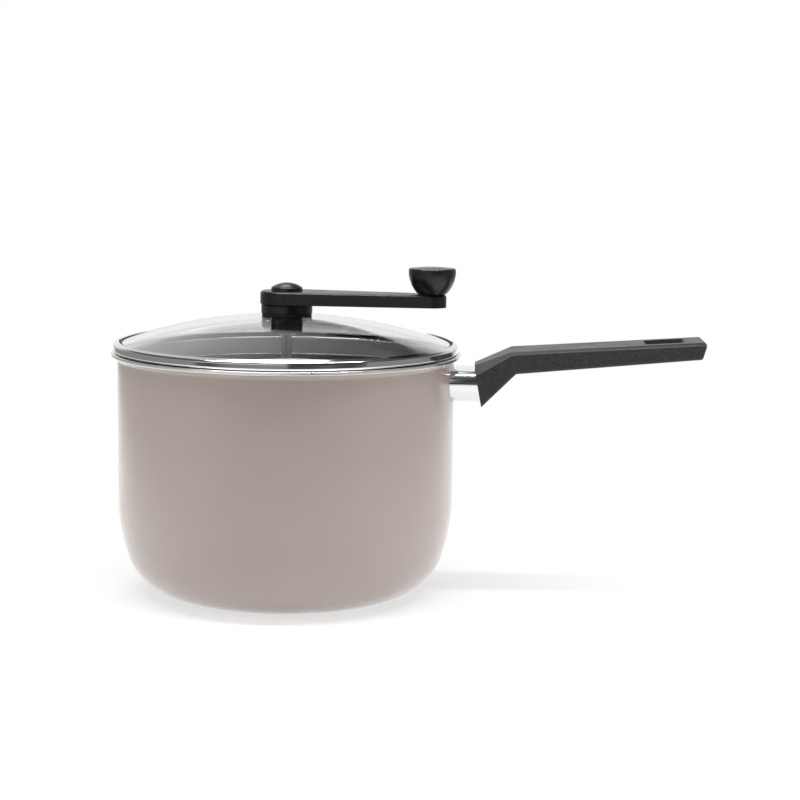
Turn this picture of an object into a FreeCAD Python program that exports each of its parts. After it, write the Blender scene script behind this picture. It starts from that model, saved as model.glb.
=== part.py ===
import FreeCAD, Part
import math
import os

"""Hand cranked popcorn popper: a long-handled saucepan with a cranked stirrer in its glass lid.

Millimetres. The origin is the centre of the base underside, +Z is up and +X points along the handle.
Every piece is one solid (or a group of equal solids) in its own STEP file.
"""

# ---------------------------------------------------------------- pot
MOUTH_RADIUS = 100.0            # inside of the straight wall
WALL = 2.0
FLOOR_THICKNESS = 3.0
POT_HEIGHT = 147.0
BASE_SET_IN = 37.7              # flat of the base inside the wall
CORNER_RADIUS = 33.5            # outer round between base and belly
BELLY_RADIUS = 114.0            # outer round between corner and straight wall
LIP_OVERHANG = 3.7              # how far the rim stands out of the wall
LIP_THICKNESS = 2.0
LIP_COVE_RADIUS = 3.3           # round under the rim
LIP_ROLL_RADIUS = 3.4           # round from the inner wall to the top of the rim
LIP_EDGE_RADIUS = 0.4
GROOVE_RADII = (22.0, 36.0, 50.0)   # turned rings in the base underside
GROOVE_WIDTH = 1.6
GROOVE_DEPTH = 0.4

# ---------------------------------------------------------------- handle
HANDLE_UNDER_RIM = 18.0         # axis of the ferrule and of the long screw below the rim
FERRULE_WIDTH = 42.0
FERRULE_HEIGHT = 20.1
FERRULE_TOP_CORNER = 4.1
FERRULE_BOTTOM_CORNER = 11.9
FERRULE_WALL = 1.2
FERRULE_SEAT_GAP = 0.05         # ferrule to wall and ferrule to grip
GRIP_WIDTH = 40.0               # hand part
NECK_WIDTH = 48.0               # flared end at the ferrule
NECK_FLAT = 18.0                # flat middle of its top
NECK_CROWN = 4.2                # how far the flat stands over the sides
GRIP_BEVEL = 3.5                # the same bevels on the hand part: their width
GRIP_CROWN = 1.3                # and their drop
FERRULE_LENGTH = 12.6           # pot wall to the grip's upper end corner
GRIP_END_RAKE = 4.4             # how far the end face leans back over its height
GRIP_TOP_OVER_AXIS = 12.5       # grip end above and below the ferrule's axis
GRIP_BOTTOM_UNDER_AXIS = 11.1
NECK_RUN = 22.1                 # length of the steep neck along X, at its top
NECK_RISE = 9.2
NECK_UNDERSIDE_RUN = 20.5
NECK_UNDERSIDE_RISE = 19.8
GRIP_RUN = 116.3                # length of the hand part along X, at its top
GRIP_RISE = 7.9
GRIP_UNDERSIDE_RUN = 110.5
GRIP_UNDERSIDE_RISE = 10.6
GRIP_EDGE_RADIUS = 1.8
SPIGOT_LENGTH = 4.2             # the grip's plug inside the ferrule
SPIGOT_CLEARANCE = 0.3
HANG_SLOT_LENGTH = 22.0
HANG_SLOT_WIDTH = 20.0
HANG_SLOT_CORNER = 2.5
HANG_SLOT_FROM_TIP = 13.8       # from the tip to the nearer end of the slot
HANG_SLOT_RIM = 0.8             # bevel round the slot's mouth

BRACKET_CLEARANCE = 0.5         # bracket to the inside of the ferrule
BRACKET_THICKNESS = 2.5
BRACKET_BOSS_RADIUS = 5.4
RIVET_SPACING = 18.6
RIVET_RADIUS = 2.4
RIVET_HEAD_RADIUS = 4.2
RIVET_HEAD_HEIGHT = 1.8
RIVET_TAIL_RADIUS = 3.1
RIVET_TAIL_HEIGHT = 1.5
RIVET_CLEARANCE = 0.05
RIVET_SEAT_GAP = 0.15           # a flat head against the round wall
SCREW_RADIUS = 2.5
SCREW_GRIP = 3.0                # grip material between the end face and the screw head's seat
SCREW_THREAD_DEPTH = 8.0
SCREW_THREAD_CLEARANCE = 0.05
SCREW_HOLE_CLEARANCE = 0.3
SCREW_HEAD_RADIUS = 4.2
SCREW_HEAD_HEIGHT = 3.0
SCREW_RECESS_DEPTH = 1.6        # cross recess
SCREW_RECESS_WIDTH = 1.1
SCREW_RECESS_LENGTH = 4.4
COUNTERBORE_RADIUS = 5.0
LOCK_WASHER_RADIUS = 4.3
LOCK_WASHER_THICKNESS = 1.1
LOCK_WASHER_GAP = 1.0           # the split in the ring

# ---------------------------------------------------------------- lid
LID_REST_GAP = 0.3              # band above the rim
BAND_THICKNESS = 0.6
BAND_SET_IN = 1.3               # band inside the rim's edge
SKIRT_CLEARANCE = 0.8           # skirt to mouth
SKIRT_DEPTH = 12.3              # skirt below its flange
SKIRT_HEM = 1.0                 # inward hem at its foot
BAND_BEND_RADIUS = 1.2
BAND_ROLL_RADIUS = 1.5
BAND_TOP_REACH = 3.1            # how far the band reaches in over the glass
DOME_RADIUS = 297.0             # outer surface of the glass
GLASS_THICKNESS = 3.2
GLASS_SIDE_GAP = 1.85           # edge seal to the inside of the band
EDGE_SEAL_THICKNESS = 0.35
EDGE_SEAL_LIP = 2.0             # seal legs along the glass
SEAL_TO_BAND = 0.05
BAND_OVER_SEAL = 0.4            # roll over the top of the edge seal

# ---------------------------------------------------------------- bearing in the lid
SHAFT_RADIUS = 3.2
SHAFT_CLEARANCE = 0.05
BUSH_WALL = 1.3
SLEEVE_WALL = 1.8
FIT_GAP = 0.05                  # pieces that are pressed or screwed together
GLASS_HOLE_CLEARANCE = 0.5
BOSS_RADIUS = 15.5
BOSS_HEIGHT = 5.7
BOSS_EDGE_RADIUS = 0.6
UPPER_SEAL_RADIUS = 15.1
UPPER_SEAL_THICKNESS = 0.5
LOWER_SEAL_RADIUS = 9.0
LOWER_SEAL_THICKNESS = 1.0
NUT_RADIUS = 9.6
NUT_HEIGHT = 7.8
NUT_EDGE = 0.7
NUT_NOTCHES = 6
NUT_NOTCH_RADIUS = 1.0

# ---------------------------------------------------------------- crank
HUB_GAP = 0.3                   # running gap between boss and crank
HUB_RADIUS = 16.1
CRANK_RADIUS = 89.0             # shaft axis to knob axis
ARM_TIP_RADIUS = 8.7
ARM_THICKNESS = 7.7
ARM_EDGE_RADIUS = 1.6
ARM_WALL = 2.2                  # walls round the hollow underside
ARM_WEB = 2.6                   # top plate over the hollow underside
ARM_HUB_CORE = 17.5             # solid round the shaft
ARM_TIP_CORE = 7.5              # solid round the knob spindle
ARM_RIB = 1.6
ARM_CROSS_RIBS = 2
ARM_REST_ANGLE = -7.0           # degrees from +X at rest
DRIVE_SQUARE = 4.4
DRIVE_CLEARANCE = 0.05
HUB_POCKET_RADIUS = 7.2
HUB_POCKET_DEPTH = 3.2
ARM_WASHER_RADIUS = 5.0
ARM_WASHER_THICKNESS = 0.8
ARM_SCREW_RADIUS = 1.5
ARM_SCREW_HEAD_RADIUS = 2.8
ARM_SCREW_HEAD_HEIGHT = 2.0
ARM_SCREW_LENGTH = 8.0
ARM_SCREW_RECESS = 1.0
CAP_RADIUS = 9.5
CAP_SIDE = 2.0
CAP_DOME = 3.0
CAP_EDGE_RADIUS = 0.7
CAP_SPIGOT_WALL = 1.3
CAP_SPIGOT_DEPTH = 2.2
CLIP_GAP = 0.4
CLIP_THICKNESS = 0.8
CLIP_RADIUS = 5.8
CLIP_GROOVE_DEPTH = 0.7
CLIP_MOUTH = 3.6

# ---------------------------------------------------------------- stirrer
FOOT_CLEARANCE = 0.4            # foot above the pot floor
FOOT_RADIUS = 5.2
FOOT_HEIGHT = 2.0
FOOT_PIN_RADIUS = 1.6
FOOT_PIN_LENGTH = 4.0
STIRRER_HUB_RADIUS = 6.6
STIRRER_HUB_HEIGHT = 11.5
VANE_RADIUS = 2.0
VANE_OVER_HUB_FOOT = 4.4        # wire axis above the stirrer hub's underside
VANE_STRAIGHT = 20.0            # straight half length through the hub
VANE_TIP_SET_IN = 0.2           # end of the wire inside the flat floor's edge
VANE_BEND_ANGLE = 58.0
STIRRER_PIN_RADIUS = 1.0
STIRRER_PIN_HEIGHT = 9.0        # above the stirrer hub's underside

# ---------------------------------------------------------------- knob
KNOB_GAP = 0.35
KNOB_NECK_RADIUS = 8.6
KNOB_WAIST_RADIUS = 12.9
KNOB_WAIST_HEIGHT = 6.6
KNOB_RADIUS = 14.1
KNOB_HEIGHT = 14.3
KNOB_EDGE_RADIUS = 1.3
KNOB_CAP_RADIUS = 12.4
KNOB_CAP_SEAT = 1.0
KNOB_CAP_DOME = 1.9
SPINDLE_RADIUS = 3.0
SPINDLE_CLEARANCE = 0.06
SPINDLE_HEAD_RADIUS = 4.6
SPINDLE_HEAD_HEIGHT = 2.4
SPINDLE_SHOULDER = 8.6
SPINDLE_THREAD_RADIUS = 2.4
SPINDLE_THREAD_LENGTH = 6.2
SPINDLE_HEAD_CLEARANCE = 0.4

# ---------------------------------------------------------------- heights and radii that follow
UP = FreeCAD.Vector(0, 0, 1)
OUT = FreeCAD.Vector(1, 0, 0)
CENTRE = FreeCAD.Vector(0, 0, 0)

WALL_RADIUS = MOUTH_RADIUS + WALL
LIP_RADIUS = WALL_RADIUS + LIP_OVERHANG
BASE_RADIUS = WALL_RADIUS - BASE_SET_IN
HANDLE_HEIGHT = POT_HEIGHT - HANDLE_UNDER_RIM
BAND_FOOT = POT_HEIGHT + LID_REST_GAP
BAND_FLOOR = BAND_FOOT + BAND_THICKNESS
BAND_RADIUS = LIP_RADIUS - BAND_SET_IN
SEAL_RADIUS = BAND_RADIUS - BAND_THICKNESS - GLASS_SIDE_GAP
GLASS_EDGE_RADIUS = SEAL_RADIUS - EDGE_SEAL_THICKNESS
DOME_CENTRE = BAND_FLOOR + SEAL_TO_BAND - math.sqrt(
    (DOME_RADIUS - GLASS_THICKNESS - EDGE_SEAL_THICKNESS) ** 2 - SEAL_RADIUS ** 2)
GLASS_TOP = DOME_CENTRE + DOME_RADIUS
GLASS_UNDERSIDE = GLASS_TOP - GLASS_THICKNESS

BUSH_BORE = SHAFT_RADIUS + SHAFT_CLEARANCE
BUSH_RADIUS = BUSH_BORE + BUSH_WALL
SLEEVE_BORE = BUSH_RADIUS + FIT_GAP
SLEEVE_RADIUS = SLEEVE_BORE + SLEEVE_WALL
GLASS_HOLE_RADIUS = SLEEVE_RADIUS + GLASS_HOLE_CLEARANCE
BOSS_FOOT = GLASS_TOP + UPPER_SEAL_THICKNESS
BOSS_TOP = BOSS_FOOT + BOSS_HEIGHT
NUT_TOP = GLASS_UNDERSIDE - LOWER_SEAL_THICKNESS
NUT_FOOT = NUT_TOP - NUT_HEIGHT
CLIP_TOP = NUT_FOOT - CLIP_GAP

ARM_FOOT = BOSS_TOP + HUB_GAP
ARM_TOP = ARM_FOOT + ARM_THICKNESS
HUB_POCKET_FLOOR = ARM_TOP - HUB_POCKET_DEPTH

POT_FLOOR = FLOOR_THICKNESS
FOOT_BASE = POT_FLOOR + FOOT_CLEARANCE
STIRRER_BASE = FOOT_BASE + FOOT_HEIGHT
VANE_HEIGHT = STIRRER_BASE + VANE_OVER_HUB_FOOT
VANE_BEND_RADIUS = (BASE_RADIUS - VANE_TIP_SET_IN - VANE_STRAIGHT) / math.sin(math.radians(VANE_BEND_ANGLE))
STIRRER_TOP = STIRRER_BASE + STIRRER_HUB_HEIGHT
PIN_HEIGHT = STIRRER_BASE + STIRRER_PIN_HEIGHT

KNOB_FOOT = ARM_TOP + KNOB_GAP
KNOB_TOP = KNOB_FOOT + KNOB_HEIGHT
SPINDLE_SEAT = ARM_TOP + SPINDLE_SHOULDER

GRIP_START = WALL_RADIUS + FERRULE_LENGTH
GRIP_TOP = HANDLE_HEIGHT + GRIP_TOP_OVER_AXIS
GRIP_BOTTOM = HANDLE_HEIGHT - GRIP_BOTTOM_UNDER_AXIS
GRIP_TIP = GRIP_START + NECK_RUN + GRIP_RUN
END_FACE_AT_AXIS = GRIP_START + GRIP_END_RAKE * GRIP_TOP_OVER_AXIS / (GRIP_TOP - GRIP_BOTTOM)
SCREW_SEAT = END_FACE_AT_AXIS + SCREW_GRIP
SPIGOT_END = END_FACE_AT_AXIS - SPIGOT_LENGTH
BRACKET_END = SPIGOT_END - SPIGOT_CLEARANCE


# ---------------------------------------------------------------- profile helpers
def section_point(x, z):
    """A point of the XZ section plane."""
    return FreeCAD.Vector(x, 0, z)


def corner_round(before, corner, after, radius):
    """Start, middle and end of the arc that rounds one corner of an outline."""
    back = (before - corner).normalize()
    ahead = (after - corner).normalize()
    half = back.getAngle(ahead) / 2
    reach = radius / math.tan(half)
    inward = (back + ahead).normalize()
    middle = corner + inward * (radius / math.sin(half) - radius)
    return corner + back * reach, middle, corner + ahead * reach


def rounded_outline(corners):
    """A closed wire through (point, radius) corners, each rounded by its radius."""
    count = len(corners)
    stretches = []
    for index, (corner, radius) in enumerate(corners):
        if radius:
            before = corners[index - 1][0]
            after = corners[(index + 1) % count][0]
            stretches.append(corner_round(before, corner, after, radius))
        else:
            stretches.append((corner,))
    edges = []
    for index, stretch in enumerate(stretches):
        if len(stretch) == 3:
            edges.append(Part.Arc(*stretch).toShape())
        following = stretches[(index + 1) % count][0]
        if stretch[-1].distanceToPoint(following) > 1e-6:
            edges.append(Part.makeLine(stretch[-1], following))
    return Part.Wire(edges)


def section_face(rows):
    """A face in the XZ plane from (x, z, corner radius) rows."""
    return Part.Face(rounded_outline([(section_point(x, z), radius) for x, z, radius in rows]))


def revolved(face):
    """The solid that a section face sweeps round the Z axis."""
    return face.revolve(CENTRE, UP, 360)


def turned(rows):
    """A turned solid from (radius, z, corner radius) rows."""
    return revolved(section_face(rows))


def strip_side(line, offset):
    """One side of a bent strip: the centre line moved sideways, with its bends kept concentric."""
    side = []
    last = len(line) - 1
    for index, (corner, radius) in enumerate(line):
        back = corner - line[index - 1][0] if index else line[1][0] - corner
        ahead = line[index + 1][0] - corner if index < last else back
        back = FreeCAD.Vector(back).normalize()
        ahead = FreeCAD.Vector(ahead).normalize()
        normal = FreeCAD.Vector(-back.z - ahead.z, 0, back.x + ahead.x).normalize()
        stretch = math.cos(back.getAngle(ahead) / 2)
        turn = back.x * ahead.z - back.z * ahead.x
        side_radius = radius - offset if turn > 0 else radius + offset
        side.append((corner + normal * (offset / stretch), side_radius if radius else 0))
    return side


def strip_face(rows, thickness):
    """The section of bent sheet metal that follows (x, z, bend radius) centre line rows."""
    line = [(section_point(x, z), radius) for x, z, radius in rows]
    left = strip_side(line, thickness / 2)
    right = strip_side(line, -thickness / 2)
    return Part.Face(rounded_outline(left + right[::-1]))


def disc(radius, foot, top):
    """A round solid on the Z axis between two heights."""
    return Part.makeCylinder(radius, top - foot, FreeCAD.Vector(0, 0, foot), UP)


def ring(bore, radius, foot, top):
    """A washer-like solid on the Z axis between two heights."""
    return disc(radius, foot, top).cut(disc(bore, foot, top))


def bar_along_x(radius, start, end, y=0.0, z=HANDLE_HEIGHT):
    """A round bar parallel to X."""
    return Part.makeCylinder(radius, end - start, FreeCAD.Vector(start, y, z), OUT)


def block(x_range, y_range, z_range):
    """A rectangular block from its three ranges."""
    size = [high - low for low, high in (x_range, y_range, z_range)]
    return Part.makeBox(*size, FreeCAD.Vector(x_range[0], y_range[0], z_range[0]))


def edges_where(solid, test):
    """The edges of a solid whose bounding box passes a test."""
    return [edge for edge in solid.Edges if test(edge.BoundBox)]


def at_knob(solid):
    """Moves a piece from the shaft axis out to the knob axis at rest."""
    angle = math.radians(ARM_REST_ANGLE)
    moved = solid.copy()
    moved.translate(FreeCAD.Vector(CRANK_RADIUS * math.cos(angle), CRANK_RADIUS * math.sin(angle), 0))
    return moved


def at_rest_angle(solid):
    """Turns a piece modelled along +X to the crank's resting direction."""
    turned_piece = solid.copy()
    turned_piece.rotate(CENTRE, UP, ARM_REST_ANGLE)
    return turned_piece


# ---------------------------------------------------------------- pot
def bowl_curve(wall_radius, corner_radius, belly_radius, floor):
    """Points and arcs of the bowl from the flat floor up to the straight wall."""
    across = (belly_radius - wall_radius + BASE_RADIUS) / (belly_radius - corner_radius)
    angle = math.acos(across)
    corner_centre = (BASE_RADIUS, floor + corner_radius)
    belly_centre = (wall_radius - belly_radius,
                    floor + corner_radius + (belly_radius - corner_radius) * math.sin(angle))

    def on_arc(centre, radius, degrees):
        return section_point(centre[0] + radius * math.cos(degrees), centre[1] + radius * math.sin(degrees))

    floor_edge = on_arc(corner_centre, corner_radius, -math.pi / 2)
    corner_middle = on_arc(corner_centre, corner_radius, -(math.pi / 2 + angle) / 2)
    corner_end = on_arc(corner_centre, corner_radius, -angle)
    belly_middle = on_arc(belly_centre, belly_radius, -angle / 2)
    wall_start = on_arc(belly_centre, belly_radius, 0)
    arcs = [Part.Arc(floor_edge, corner_middle, corner_end).toShape(),
            Part.Arc(corner_end, belly_middle, wall_start).toShape()]
    return floor_edge, arcs, wall_start


def lip_edges(outer_start, inner_start):
    """The rim's section: cove, turned edge, flat top and the roll into the mouth."""
    underside = POT_HEIGHT - LIP_THICKNESS
    cove = corner_round(outer_start, section_point(WALL_RADIUS, underside),
                        section_point(LIP_RADIUS, underside), LIP_COVE_RADIUS)
    edge_low = corner_round(section_point(WALL_RADIUS, underside), section_point(LIP_RADIUS, underside),
                            section_point(LIP_RADIUS, POT_HEIGHT), LIP_EDGE_RADIUS)
    edge_high = corner_round(section_point(LIP_RADIUS, underside), section_point(LIP_RADIUS, POT_HEIGHT),
                             section_point(MOUTH_RADIUS, POT_HEIGHT), LIP_EDGE_RADIUS)
    roll = corner_round(section_point(LIP_RADIUS, POT_HEIGHT), section_point(MOUTH_RADIUS, POT_HEIGHT),
                        inner_start, LIP_ROLL_RADIUS)
    edges = []
    here = outer_start
    for arc in (cove, edge_low, edge_high, roll):
        if here.distanceToPoint(arc[0]) > 1e-6:
            edges.append(Part.makeLine(here, arc[0]))
        edges.append(Part.Arc(*arc).toShape())
        here = arc[-1]
    edges.append(Part.makeLine(here, inner_start))
    return edges


def rivet_angles():
    """Directions of the two bracket rivets round the pot's axis, in degrees."""
    half = math.degrees(math.asin(RIVET_SPACING / 2 / WALL_RADIUS))
    return (-half, half)


def rivet_holes(clearance=RIVET_CLEARANCE):
    """Cutters for the rivet shanks through wall and bracket."""
    start = MOUTH_RADIUS - LIP_OVERHANG
    shank = bar_along_x(RIVET_RADIUS + clearance, start, WALL_RADIUS + 2 * BRACKET_THICKNESS)
    holes = []
    for angle in rivet_angles():
        hole = shank.copy()
        hole.rotate(CENTRE, UP, angle)
        holes.append(hole)
    return holes


def pot_shell():
    """Pressed shell: flat base with turned rings, rounded belly, straight wall and rolled-out rim."""
    foot, outer_arcs, outer_wall = bowl_curve(WALL_RADIUS, CORNER_RADIUS, BELLY_RADIUS, 0)
    floor, inner_arcs, inner_wall = bowl_curve(MOUTH_RADIUS, CORNER_RADIUS - WALL, BELLY_RADIUS - WALL, POT_FLOOR)
    edges = [Part.makeLine(CENTRE, foot)] + outer_arcs
    edges += lip_edges(outer_wall, inner_wall)
    edges += inner_arcs[::-1]
    edges += [Part.makeLine(floor, section_point(0, POT_FLOOR)), Part.makeLine(section_point(0, POT_FLOOR), CENTRE)]
    shell = revolved(Part.Face(Part.Wire(Part.__sortEdges__(edges))))
    for radius in GROOVE_RADII:
        groove = [(radius - GROOVE_WIDTH / 2, 0, 0), (radius + GROOVE_WIDTH / 2, 0, 0), (radius, GROOVE_DEPTH, 0)]
        shell = shell.cut(turned(groove))
    for hole in rivet_holes():
        shell = shell.cut(hole)
    return shell


def handle_bracket():
    """Cast saddle on the pot wall with a tapped boss for the long screw."""
    inset = FERRULE_WALL + BRACKET_CLEARANCE
    foot = WALL_RADIUS + FERRULE_SEAT_GAP
    plate = ferrule_bar(inset, WALL_RADIUS - FERRULE_WIDTH, BRACKET_END)
    plate = plate.common(disc(foot + BRACKET_THICKNESS, 0, POT_HEIGHT))
    bracket = plate.fuse(bar_along_x(BRACKET_BOSS_RADIUS, MOUTH_RADIUS, BRACKET_END))
    bracket = bracket.cut(disc(foot, 0, POT_HEIGHT))
    bore_start = BRACKET_END - SCREW_THREAD_DEPTH
    bracket = bracket.cut(bar_along_x(SCREW_RADIUS + SCREW_THREAD_CLEARANCE, bore_start, BRACKET_END))
    for hole in rivet_holes():
        bracket = bracket.cut(hole)
    return bracket.removeSplitter()


def handle_rivets():
    """Two rivets with domed heads inside the pot and set tails on the bracket."""
    head_back = MOUTH_RADIUS - RIVET_SEAT_GAP
    tail_start = WALL_RADIUS + FERRULE_SEAT_GAP + BRACKET_THICKNESS + RIVET_CLEARANCE
    dome_radius = (RIVET_HEAD_RADIUS ** 2 + RIVET_HEAD_HEIGHT ** 2) / (2 * RIVET_HEAD_HEIGHT)
    dome_centre = FreeCAD.Vector(head_back - RIVET_HEAD_HEIGHT + dome_radius, 0, HANDLE_HEIGHT)
    head = Part.makeSphere(dome_radius, dome_centre)
    head = head.common(bar_along_x(RIVET_HEAD_RADIUS, head_back - RIVET_HEAD_HEIGHT, head_back))
    shank = bar_along_x(RIVET_RADIUS, head_back, tail_start)
    tail = bar_along_x(RIVET_TAIL_RADIUS, tail_start, tail_start + RIVET_TAIL_HEIGHT)
    rivet = head.fuse(shank).fuse(tail).removeSplitter()
    rivets = []
    for angle in rivet_angles():
        placed = rivet.copy()
        placed.rotate(CENTRE, UP, angle)
        rivets.append(placed)
    return Part.makeCompound(rivets)


# ---------------------------------------------------------------- handle
def ferrule_bar(inset, start, end):
    """A bar along X whose section is the ferrule's outline, set in all round: flatter above, rounder below."""
    half = FERRULE_WIDTH / 2 - inset
    low, high = HANDLE_HEIGHT - FERRULE_HEIGHT / 2 + inset, HANDLE_HEIGHT + FERRULE_HEIGHT / 2 - inset
    above, below = FERRULE_TOP_CORNER - inset, FERRULE_BOTTOM_CORNER - inset
    corners = [(-half, low, below), (half, low, below), (half, high, above), (-half, high, above)]
    section = rounded_outline([(FreeCAD.Vector(start, y, z), radius) for y, z, radius in corners])
    return Part.Face(section).extrude(FreeCAD.Vector(end - start, 0, 0))


def behind_end_face(gap):
    """A wedge that holds everything on the grip's side of its raked end face."""
    far = GRIP_TIP
    width = 2 * GRIP_WIDTH
    rake = GRIP_END_RAKE / (GRIP_TOP - GRIP_BOTTOM)
    high, low = POT_HEIGHT + GRIP_WIDTH, 0

    def face_x(z):
        return GRIP_START - gap + (GRIP_TOP - z) * rake

    rows = [(face_x(high), high, 0), (far, high, 0), (far, low, 0), (face_x(low), low, 0)]
    wedge = section_face(rows).extrude(FreeCAD.Vector(0, width, 0))
    wedge.translate(FreeCAD.Vector(0, -width / 2, 0))
    return wedge


def handle_ferrule():
    """Oval tube, saddle-cut to the pot wall and raked to the grip's end face."""
    outer = ferrule_bar(0, MOUTH_RADIUS - FERRULE_WIDTH, GRIP_TIP)
    inner = ferrule_bar(FERRULE_WALL, MOUTH_RADIUS - FERRULE_WIDTH, GRIP_TIP)
    tube = outer.cut(inner).cut(behind_end_face(FERRULE_SEAT_GAP))
    return tube.cut(disc(WALL_RADIUS + FERRULE_SEAT_GAP, 0, POT_HEIGHT))


def grip_section(top, bottom, width, flat, crown):
    """A closed wire across the grip between two (x, z) points, with the edges of its top bevelled."""
    above, below = section_point(*top), section_point(*bottom)
    shoulder = above + (below - above).normalize() * crown
    side, inner = FreeCAD.Vector(0, width / 2, 0), FreeCAD.Vector(0, flat / 2, 0)
    corners = (below - side, below + side, shoulder + side, above + inner, above - inner, shoulder - side)
    return rounded_outline([(corner, 0) for corner in corners])


def grip_body():
    """The steep flared neck and the long hand part, mitred where the grip bends."""
    bend = (GRIP_START + NECK_RUN, GRIP_TOP + NECK_RISE)
    under = (GRIP_START + GRIP_END_RAKE, GRIP_BOTTOM)
    under_bend = (under[0] + NECK_UNDERSIDE_RUN, under[1] + NECK_UNDERSIDE_RISE)
    under_tip = (under_bend[0] + GRIP_UNDERSIDE_RUN, under_bend[1] + GRIP_UNDERSIDE_RISE)
    flat = GRIP_WIDTH - 2 * GRIP_BEVEL
    end = grip_section((GRIP_START, GRIP_TOP), under, NECK_WIDTH, NECK_FLAT, NECK_CROWN)
    middle = grip_section(bend, under_bend, GRIP_WIDTH, flat, GRIP_CROWN)
    tip = grip_section((GRIP_TIP, bend[1] + GRIP_RISE), under_tip, GRIP_WIDTH, flat, GRIP_CROWN)
    return Part.makeLoft([end, middle, tip], True, True)


def skin_rim(body, side):
    """Edges round the grip's upper (side 1) or lower (side -1) skin, without those of its end face."""
    rim = []
    for face in body.Faces:
        low_u, high_u, low_v, high_v = face.ParameterRange
        if face.normalAt((low_u + high_u) / 2, (low_v + high_v) / 2).z * side < 0.3:
            continue
        for edge in face.Edges:
            twins = [other for other in rim if other.isSame(edge)]
            if twins:
                rim.remove(twins[0])
            else:
                rim.append(edge)
    return [edge for edge in rim if edge.BoundBox.XMax > GRIP_START + GRIP_END_RAKE + 0.1]


def slot_centre_x():
    """Middle of the hanging slot along X."""
    return GRIP_TIP - HANG_SLOT_FROM_TIP - HANG_SLOT_LENGTH / 2


def slot_cutter(margin):
    """A rounded block through the grip, larger than the slot by a margin all round."""
    half_length, half_width = HANG_SLOT_LENGTH / 2 + margin, HANG_SLOT_WIDTH / 2 + margin
    middle = slot_centre_x()
    cutter = block((middle - half_length, middle + half_length), (-half_width, half_width),
                   (GRIP_BOTTOM, GRIP_TOP + 2 * (NECK_RISE + GRIP_RISE)))
    upright = edges_where(cutter, lambda box: box.ZLength > GRIP_WIDTH / 2)
    return cutter.makeFillet(HANG_SLOT_CORNER + margin, upright)


def slot_rim_cutter():
    """The shallow step round the slot's mouth in the sloping top face."""
    slope = GRIP_RISE / GRIP_RUN
    cutter = slot_cutter(HANG_SLOT_RIM)
    bend_x, bend_z = GRIP_START + NECK_RUN, GRIP_TOP + NECK_RISE
    rows = [(bend_x, bend_z - HANG_SLOT_RIM, 0), (GRIP_TIP, bend_z + GRIP_RUN * slope - HANG_SLOT_RIM, 0),
            (GRIP_TIP, bend_z + GRIP_WIDTH, 0), (bend_x, bend_z + GRIP_WIDTH, 0)]
    above = section_face(rows).extrude(FreeCAD.Vector(0, GRIP_WIDTH, 0))
    above.translate(FreeCAD.Vector(0, -GRIP_WIDTH / 2, 0))
    return cutter.common(above)


def handle_grip():
    """Moulded grip with a spigot in the ferrule, a screw counterbore in the neck and a hanging slot."""
    body = grip_body()
    tip_corners = edges_where(body, lambda box: box.XMax > GRIP_TIP - GRIP_CROWN and box.YLength < 0.1
                              and box.ZLength > GRIP_EDGE_RADIUS and box.XLength < GRIP_WIDTH / 4)
    body = body.makeFillet(GRIP_EDGE_RADIUS, tip_corners + skin_rim(body, 1) + skin_rim(body, -1))
    body = body.fuse(ferrule_bar(FERRULE_WALL + SPIGOT_CLEARANCE, SPIGOT_END, SCREW_SEAT))
    body = body.cut(slot_cutter(0)).cut(slot_rim_cutter())
    body = body.cut(bar_along_x(SCREW_RADIUS + SCREW_HOLE_CLEARANCE, SPIGOT_END, SCREW_SEAT))
    return body.cut(bar_along_x(COUNTERBORE_RADIUS, SCREW_SEAT, SCREW_SEAT + GRIP_WIDTH))


def cross_recess_along_x(face_x):
    """Cutter for a cross recess in a screw head whose top face is at face_x."""
    half_long, half_wide = SCREW_RECESS_LENGTH / 2, SCREW_RECESS_WIDTH / 2
    depth = (face_x - SCREW_RECESS_DEPTH, face_x)
    upright = block(depth, (-half_wide, half_wide), (HANDLE_HEIGHT - half_long, HANDLE_HEIGHT + half_long))
    flat = block(depth, (-half_long, half_long), (HANDLE_HEIGHT - half_wide, HANDLE_HEIGHT + half_wide))
    return upright.fuse(flat)


def handle_screw():
    """Long pan head screw from the neck's counterbore into the bracket."""
    head_start = SCREW_SEAT + LOCK_WASHER_THICKNESS
    head_end = head_start + SCREW_HEAD_HEIGHT
    shank_start = BRACKET_END - SCREW_THREAD_DEPTH + SPIGOT_CLEARANCE
    head = bar_along_x(SCREW_HEAD_RADIUS, head_start, head_end)
    outer_rim = edges_where(head, lambda box: box.XMin > head_end - SCREW_HEAD_HEIGHT / 2)
    head = head.makeFillet(SCREW_HEAD_HEIGHT / 3, outer_rim)
    screw = head.fuse(bar_along_x(SCREW_RADIUS, shank_start, head_start))
    return screw.cut(cross_recess_along_x(head_end)).removeSplitter()


def handle_lock_washer():
    """Split spring washer under the long screw's head."""
    washer = bar_along_x(LOCK_WASHER_RADIUS, SCREW_SEAT, SCREW_SEAT + LOCK_WASHER_THICKNESS)
    bore = SCREW_RADIUS + SCREW_HOLE_CLEARANCE
    washer = washer.cut(bar_along_x(bore, SCREW_SEAT, SCREW_SEAT + LOCK_WASHER_THICKNESS))
    half_gap = LOCK_WASHER_GAP / 2
    split = block((SCREW_SEAT, SCREW_SEAT + LOCK_WASHER_THICKNESS), (-half_gap, half_gap),
                  (HANDLE_HEIGHT, HANDLE_HEIGHT + 2 * LOCK_WASHER_RADIUS))
    return washer.cut(split)


# ---------------------------------------------------------------- lid
def dome_ball(offset):
    """The ball whose surface is the glass's outer surface moved out by an offset."""
    return Part.makeSphere(DOME_RADIUS + offset, FreeCAD.Vector(0, 0, DOME_CENTRE))


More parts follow.
